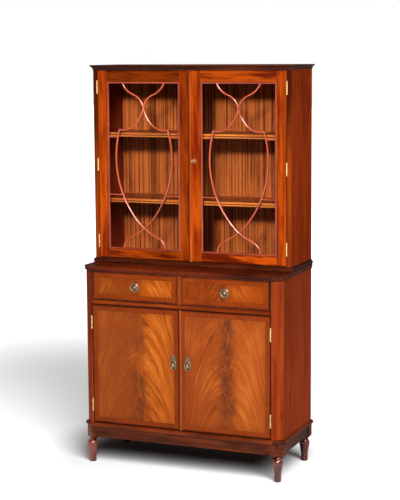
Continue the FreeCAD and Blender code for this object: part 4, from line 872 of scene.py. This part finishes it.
def tracery_paths(side):
    """Courses of the bars of one door in its plane: long bars first, then the ties."""
    low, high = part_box("glazed_%s_beads" % side)
    inner = rebate + bead_width
    left, right = low[0] + inner, high[0] - inner
    bottom, top = low[2] + inner, high[2] - inner
    middle = (left + right) / 2
    bars, ties = [], []
    for way in (-1, 1):
        for shares, heading in ((ogee_shares, ogee_heading), (oval_shares, oval_heading)):
            points = [(middle + way * across * (right - left), bottom + up * (top - bottom))
                      for across, up in shares]
            bars.append(arc_points(points, heading if way > 0 else math.pi - heading))
        for share in tie_shares:
            z = bottom + share * (top - bottom)
            near = min(bars[-1], key=lambda point: abs(point.y - z))
            edge = middle - way * ((right - left) / 2 + bead_width / 4)
            ties.append([Vector((edge, z)), Vector((near.x, z))])
    return bars, ties


def curve_of(name, courses, y):
    """Straight-sided curve through the points of each course, in a plane parallel to the doors."""
    curve = bpy.data.curves.new(name, "CURVE")
    curve.dimensions = "3D"
    for course in courses:
        spline = curve.splines.new("POLY")
        spline.points.add(len(course) - 1)
        for point, spot in zip(spline.points, course):
            point.co = (spot.x, y, spot.y, 1)
    return curve


astragal_wood = polished_wood(
    "astragal_mahogany", (236, 100, 50), (196, 68, 30), (224, 130, 90), streaks=90.0, shine=0.85,
    rough=0.2)
for side in sides:
    glass_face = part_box("glazed_%s_glass" % side)[0][1]
    bars, ties = tracery_paths(side)
    work = bmesh.new()
    for label, courses, width, depth in (("bars", bars, bar_width, bar_depth),
                                         ("ties", ties, tie_width, tie_depth)):
        sizes = {"Bar width": width, "Bar depth": depth, "Finish": astragal_wood}
        curve = curve_of(label, courses, glass_face)
        work.from_mesh(worked_out("tracery_" + label, curve, bar_sweep, sizes))
    joined = bpy.data.meshes.new("tracery_%s" % side)
    work.to_mesh(joined)
    work.free()
    place_piece("tracery_%s_bars" % side, joined, "glazed_%s_door" % side,
                astragal_wood, ["glazed_%s_tracery" % side])

# Hinges, catches, screws, lock and key
# Solid brass butt hinges let into the stiles, steel catches and screws, a brass lock with its
# escutcheon, and a plated steel key left in the door.


def make_metal_age():
    """Old metal: darker in hollows and patches, brighter where hands and cloths have rubbed it."""
    group, takes, given = start_group("metal_age", {
        "Place": (0, 0, 0), "Bright": (1, 1, 1, 1), "Dull": (0, 0, 0, 1), "Hollow": 0.0,
        "Patch count": 60.0, "Age": 0.5}, surface_outputs)
    mark_count, mark_stretch = 700.0, 0.2
    patches = cloud(takes["Place"], takes["Patch count"], 4.0, 0.65)
    marks = cloud(stretched(takes["Place"], 1, 1, mark_stretch), mark_count, 2.0)
    dull = reckon("MAXIMUM", fade(patches, 0.4, 0.7) * takes["Age"], takes["Hollow"])
    feed(given, {"Colour": between(dull, takes["Bright"], takes["Dull"]),
                 "Gloss": dull * 0.3 + marks * 0.15, "Relief": patches * 0.6 + marks * 0.4})
    return group


metal_age = make_metal_age()


def old_metal(name, bright, dull, age, rough, patches=60.0, hollow_of=None):
    """Metal with its own age. hollow_of gives how sunk a place is, from 0 to 1."""
    made, tree, shader = blank_finish(name)
    place = on_piece(tree)
    aged = placed(tree, metal_age, {
        "Place": place, "Bright": tone(*bright), "Dull": tone(*dull), "Patch count": patches,
        "Hollow": hollow_of(place) if hollow_of else 0.0, "Age": age})
    feed(shader, {"Base Color": aged["Colour"], "Roughness": aged["Gloss"] + rough,
                  "Metallic": 1.0, "Normal": raised(aged["Relief"], 0.0002)})
    return made


coat(old_metal("hinge_brass", (204, 172, 112), (120, 90, 48), 0.6, 0.34), "case_hinge_leaves",
     "hinge_pins", "shelf_studs", "glazed_left_hinge_leaves", "glazed_right_hinge_leaves",
     "cupboard_left_hinge_leaves", "cupboard_right_hinge_leaves")
coat(old_metal("lock_brass", (168, 118, 64), (84, 54, 28), 0.7, 0.34), "door_lock")
coat(old_metal("key_steel", (190, 192, 190), (110, 108, 102), 0.4, 0.22), "joining_screws",
     "door_catches", "door_key")

# Pulls
# Cast brass ring pulls on the drawers and drop pulls on the doors, bolted through the wood. Dark
# old patina lies in the hollows, and the rims, pearls and bosses are rubbed bright.


def make_pearl_border():
    """Pearls of one size along an oval, half sunk in the plate that carries them."""
    group, takes, given = start_group("pearl_border", {
        "Geometry": "Geometry", "Count": 30, "Pearl radius": 0.001, "Half width": 0.02,
        "Half height": 0.02, "Middle": (0, 0, 0), "Finish": "Material"},
        {"Geometry": "Geometry"}, "GeometryNodeTree")
    circle = put(group, "GeometryNodeCurvePrimitiveCircle", {"Resolution": 96, "Radius": 1.0})
    oval = put(group, "GeometryNodeTransform", {
        "Geometry": circle[0], "Scale": together(takes["Half width"], takes["Half height"], 1.0),
        "Rotation": (math.pi / 2, 0, 0)})
    spots = put(group, "GeometryNodeCurveToPoints", {"Curve": oval[0], "Count": takes["Count"]},
                mode="COUNT")
    ball = put(group, "GeometryNodeMeshIcoSphere", {"Radius": takes["Pearl radius"],
                                                    "Subdivisions": 2})
    strung = put(group, "GeometryNodeInstanceOnPoints", {"Points": spots[0], "Instance": ball[0]})
    pearls = put(group, "GeometryNodeRealizeInstances", {"Geometry": strung[0]})
    at_plate = put(group, "GeometryNodeTransform", {
        "Geometry": pearls[0], "Translation": takes["Middle"]})
    finish_geometry(given, at_plate[0], takes["Finish"])
    return group


def cast_hollow(centres, half, sunk_from, sunk_to, spray_from=None):
    """How sunk a place of a cast plate is.

    It is sunk between two shares of its oval. Above spray_from it is a spray of leaves, with
    hollows between them and at both sides.
    """
    soft, leaf_count, leaf_reach = 0.05, 330.0, 0.02

    def hollow_of(place):
        part = apart(place)
        ovals = []
        for x, z in centres:
            wide, tall = (part[0] - x) / half[0], (part[2] - z) / half[1]
            ovals.append(reckon("SQRT", wide * wide + tall * tall))
        reach = reckon("MINIMUM", *ovals)
        hollow = (fade(reach, sunk_from - soft, sunk_from + soft)
                  * fade(reach, sunk_to + soft, sunk_to - soft))
        if spray_from is None:
            return hollow
        leaves = fade(cloud(stretched(place, 1, 1, 0.5), leaf_count, 2.0), 0.42, 0.56, 0.0, 0.75)
        for x, _ in centres:
            off = abs(part[0] - x)
            edge = (off < leaf_reach) * fade(off, 0.002, 0.007, 0.0, 0.6)
            leaves = reckon("MAXIMUM", leaves, edge)
        spray = fade(part[2], spray_from - 0.002, spray_from + 0.002)
        return reckon("MAXIMUM", hollow, leaves * spray)
    return hollow_of


pearl_border = make_pearl_border()
pull_tones, pull_rough = ((154, 130, 102), (44, 36, 26)), 0.26
plate_age, plate_patches = 0.9, 330.0
plate_face_y = -0.2061
ring_centres = ((-0.21925, 0.841), (0.21925, 0.841))
drop_centres = ((-0.02975, 0.4985), (0.04075, 0.4985))
pull_brass = old_metal("pull_brass", *pull_tones, 0.75, pull_rough, 240.0)
ring_plate_brass, drop_plate_brass = (
    old_metal(name, *pull_tones, plate_age, pull_rough, plate_patches, hollow_of)
    for name, hollow_of in (
        ("ring_plate_brass", cast_hollow(ring_centres, (0.0215, 0.0215), 0.42, 0.8)),
        ("drop_plate_brass", cast_hollow(drop_centres, (0.0165, 0.023), 0.5, 0.88, 0.514))))
# Of each kind: where it is, its body, what hangs in it, its plates' middles and brass, its border.
pulls = (
    ("drawer_%s_", "drawer_%s", "ring", ring_centres, ring_plate_brass,
     {"Count": 36, "Pearl radius": 0.0012, "Half width": 0.0195, "Half height": 0.0195}),
    ("cupboard_%s_", "cupboard_%s_door", "drop", drop_centres, drop_plate_brass,
     {"Count": 32, "Pearl radius": 0.0011, "Half width": 0.0148, "Half height": 0.0212}),
)
for index, side in enumerate(sides):
    for kind, body, hanging, centres, plate_brass, sizes in pulls:
        coat(plate_brass, kind % side + "pull_plate")
        coat(pull_brass, kind % side + hanging)
        (x, z), name = centres[index], kind % side + "pearls"
        border = worked_out(name, bpy.data.meshes.new(name + "_seat"), pearl_border,
                            {**sizes, "Middle": (x, plate_face_y, z), "Finish": pull_brass})
        place_piece(name, border, body % side, pull_brass)

# Floor, light and camera
# Pale studio floor that runs to white. A high lamp at the right and one near the camera light the
# cabinet, with fills from the right, the rear and the left. One lamp lights the floor alone.

half = 40.0
floor_mesh = bpy.data.meshes.new("floor")
floor_mesh.from_pydata([(-half, -half, 0), (half, -half, 0), (half, half, 0), (-half, half, 0)],
                       [], [(0, 1, 2, 3)])
floor = bpy.data.objects.new("floor", floor_mesh)
bpy.context.scene.collection.objects.link(floor)


def seen_directly(tree, in_gloss):
    """One for rays from the camera and through glass, and a share of it for rays from gloss."""
    path = put(tree, "ShaderNodeLightPath")
    seen = reckon("MAXIMUM", path["Is Camera Ray"], path["Is Transmission Ray"])
    seen = reckon("MAXIMUM", seen, path["Is Glossy Ray"] * in_gloss)
    return seen * (path["Diffuse Depth"] < 0.5)


floor_finish, floor_tree, floor_shader = blank_finish("studio_floor")
floor_place = on_piece(floor_tree)
floor_part = apart(floor_place)
# Painted shadow: the glow is nil at the cabinet's footprint and grows with the distance from it,
# and there is less of it where the shadow falls, to the left and behind.
foot_half_width, foot_half_depth, shadow_turn = 0.45, 0.18, math.radians(38)
out_x = reckon("MAXIMUM", abs(floor_part[0]) - foot_half_width, 0.0)
out_y = reckon("MAXIMUM", abs(floor_part[1]) - foot_half_depth, 0.0)
away = reckon("SQRT", out_x * out_x + out_y * out_y)
beside = floor_part[0] * math.cos(shadow_turn) + floor_part[1] * math.sin(shadow_turn)
along = floor_part[1] * math.cos(shadow_turn) - floor_part[0] * math.sin(shadow_turn)
shadow_band = fade(abs(beside), 1.2, 0.2, 0.0, 0.24) * fade(along, -0.1, 0.5)
near_glow = fade(away, 0.06, 0.48, 0.0, 0.6) * (1.0 - shadow_band)
far_glow = fade(away, 1.6, 4.2, 0.0, 0.9)
in_gloss = fade(floor_part[1], 0.6, -0.6, 0.1, 1.0)
floor_seen = seen_directly(floor_tree, in_gloss)
floor_pale = between(cloud(floor_place, 90.0, 3.0), tone(238, 238, 238), tone(246, 246, 246))
feed(floor_shader, {"Base Color": between(floor_seen, tone(110, 110, 110), floor_pale),
                    "Roughness": 0.9, "Specular IOR Level": 0.0, "Emission Color": (1, 1, 1, 1),
                    "Emission Strength": (near_glow + far_glow) * floor_seen})
floor_mesh.materials.append(floor_finish)

world = bpy.data.worlds.new("studio")
bpy.context.scene.world = world
world.use_nodes = True
world_in_gloss, ambient = 0.12, 0.015
world_seen = seen_directly(world.node_tree, world_in_gloss)
feed(world.node_tree.nodes["Background"], {
    "Color": (1, 1, 1, 1), "Strength": reckon("MAXIMUM", world_seen, ambient)})


def soft_lamp(name, azimuth, height, distance, size, power, aim_height):
    """Square soft box; azimuth in degrees from the cabinet's front towards its right."""
    lamp = bpy.data.lights.new(name, "AREA")
    lamp.shape = "SQUARE"
    lamp.size = size
    lamp.energy = power
    holder = bpy.data.objects.new(name, lamp)
    bpy.context.scene.collection.objects.link(holder)
    turn = math.radians(azimuth)
    spot = Vector((math.sin(turn) * distance, -math.cos(turn) * distance, height))
    facing = (Vector((0, 0, aim_height)) - spot).to_track_quat("-Z", "Y")
    holder.matrix_world = Matrix.Translation(spot) @ facing.to_matrix().to_4x4()
    return holder


# Azimuth, height, distance, size, power and the height that the lamp aims at. The sheen lamp
# gives only highlights, and the fills are not seen in gloss.
lamp_rows = {
    "high": (45, 3.9, 3.6, 0.9, 60, 0.9),
    "front": (10, 3.65, 6.0, 0.7, 345, 1.0),
    "right": (92, 2.0, 4.5, 1.5, 75, 0.9),
    "rear": (190, 3.0, 4.0, 2.0, 130, 0.9),
    "left": (248, 2.0, 4.5, 2.0, 80, 0.9),
    "floor": (38, 3.6, 4.2, 3.6, 580, 0.0),
    "sheen": (45, 3.9, 3.6, 1.4, 420, 0.9),
}
only_floor = bpy.data.collections.new("only_floor")
only_floor.objects.link(floor)
not_floor = bpy.data.collections.new("not_floor")
not_floor.objects.link(floor)
not_floor.collection_objects[0].light_linking.link_state = "EXCLUDE"
for name, row in lamp_rows.items():
    lamp = soft_lamp(name + "_lamp", *row)
    lamp.visible_diffuse = name != "sheen"
    lamp.visible_glossy = name not in ("right", "rear", "left")
    lamp.visible_transmission = name == "floor"
    lamp.light_linking.receiver_collection = only_floor if name == "floor" else not_floor

camera = bpy.data.cameras.new("camera")
camera_holder = bpy.data.objects.new("camera", camera)
bpy.context.scene.collection.objects.link(camera_holder)
bpy.context.scene.camera = camera_holder
# Turned towards the object's right, tipped down and rolled, in radians.
yaw, pitch, roll = 0.3953, 0.1381, -0.0065
spot = Vector((2.5270, -6.0129, 1.9030))
ahead = Vector((-math.sin(yaw) * math.cos(pitch), math.cos(yaw) * math.cos(pitch),
                -math.sin(pitch)))
level_right = Vector((math.cos(yaw), math.sin(yaw), 0))
level_up = level_right.cross(ahead)
right = level_right * math.cos(roll) + level_up * math.sin(roll)
up = level_up * math.cos(roll) - level_right * math.sin(roll)
camera_holder.matrix_world = Matrix([(*row, spot[axis]) for axis, row in
                                     enumerate(zip(right, up, -ahead))] + [(0, 0, 0, 1)])
camera.lens = 103.33
camera.sensor_width = 36
camera.dof.use_dof = False
bpy.context.scene.view_settings.view_transform = "Standard"
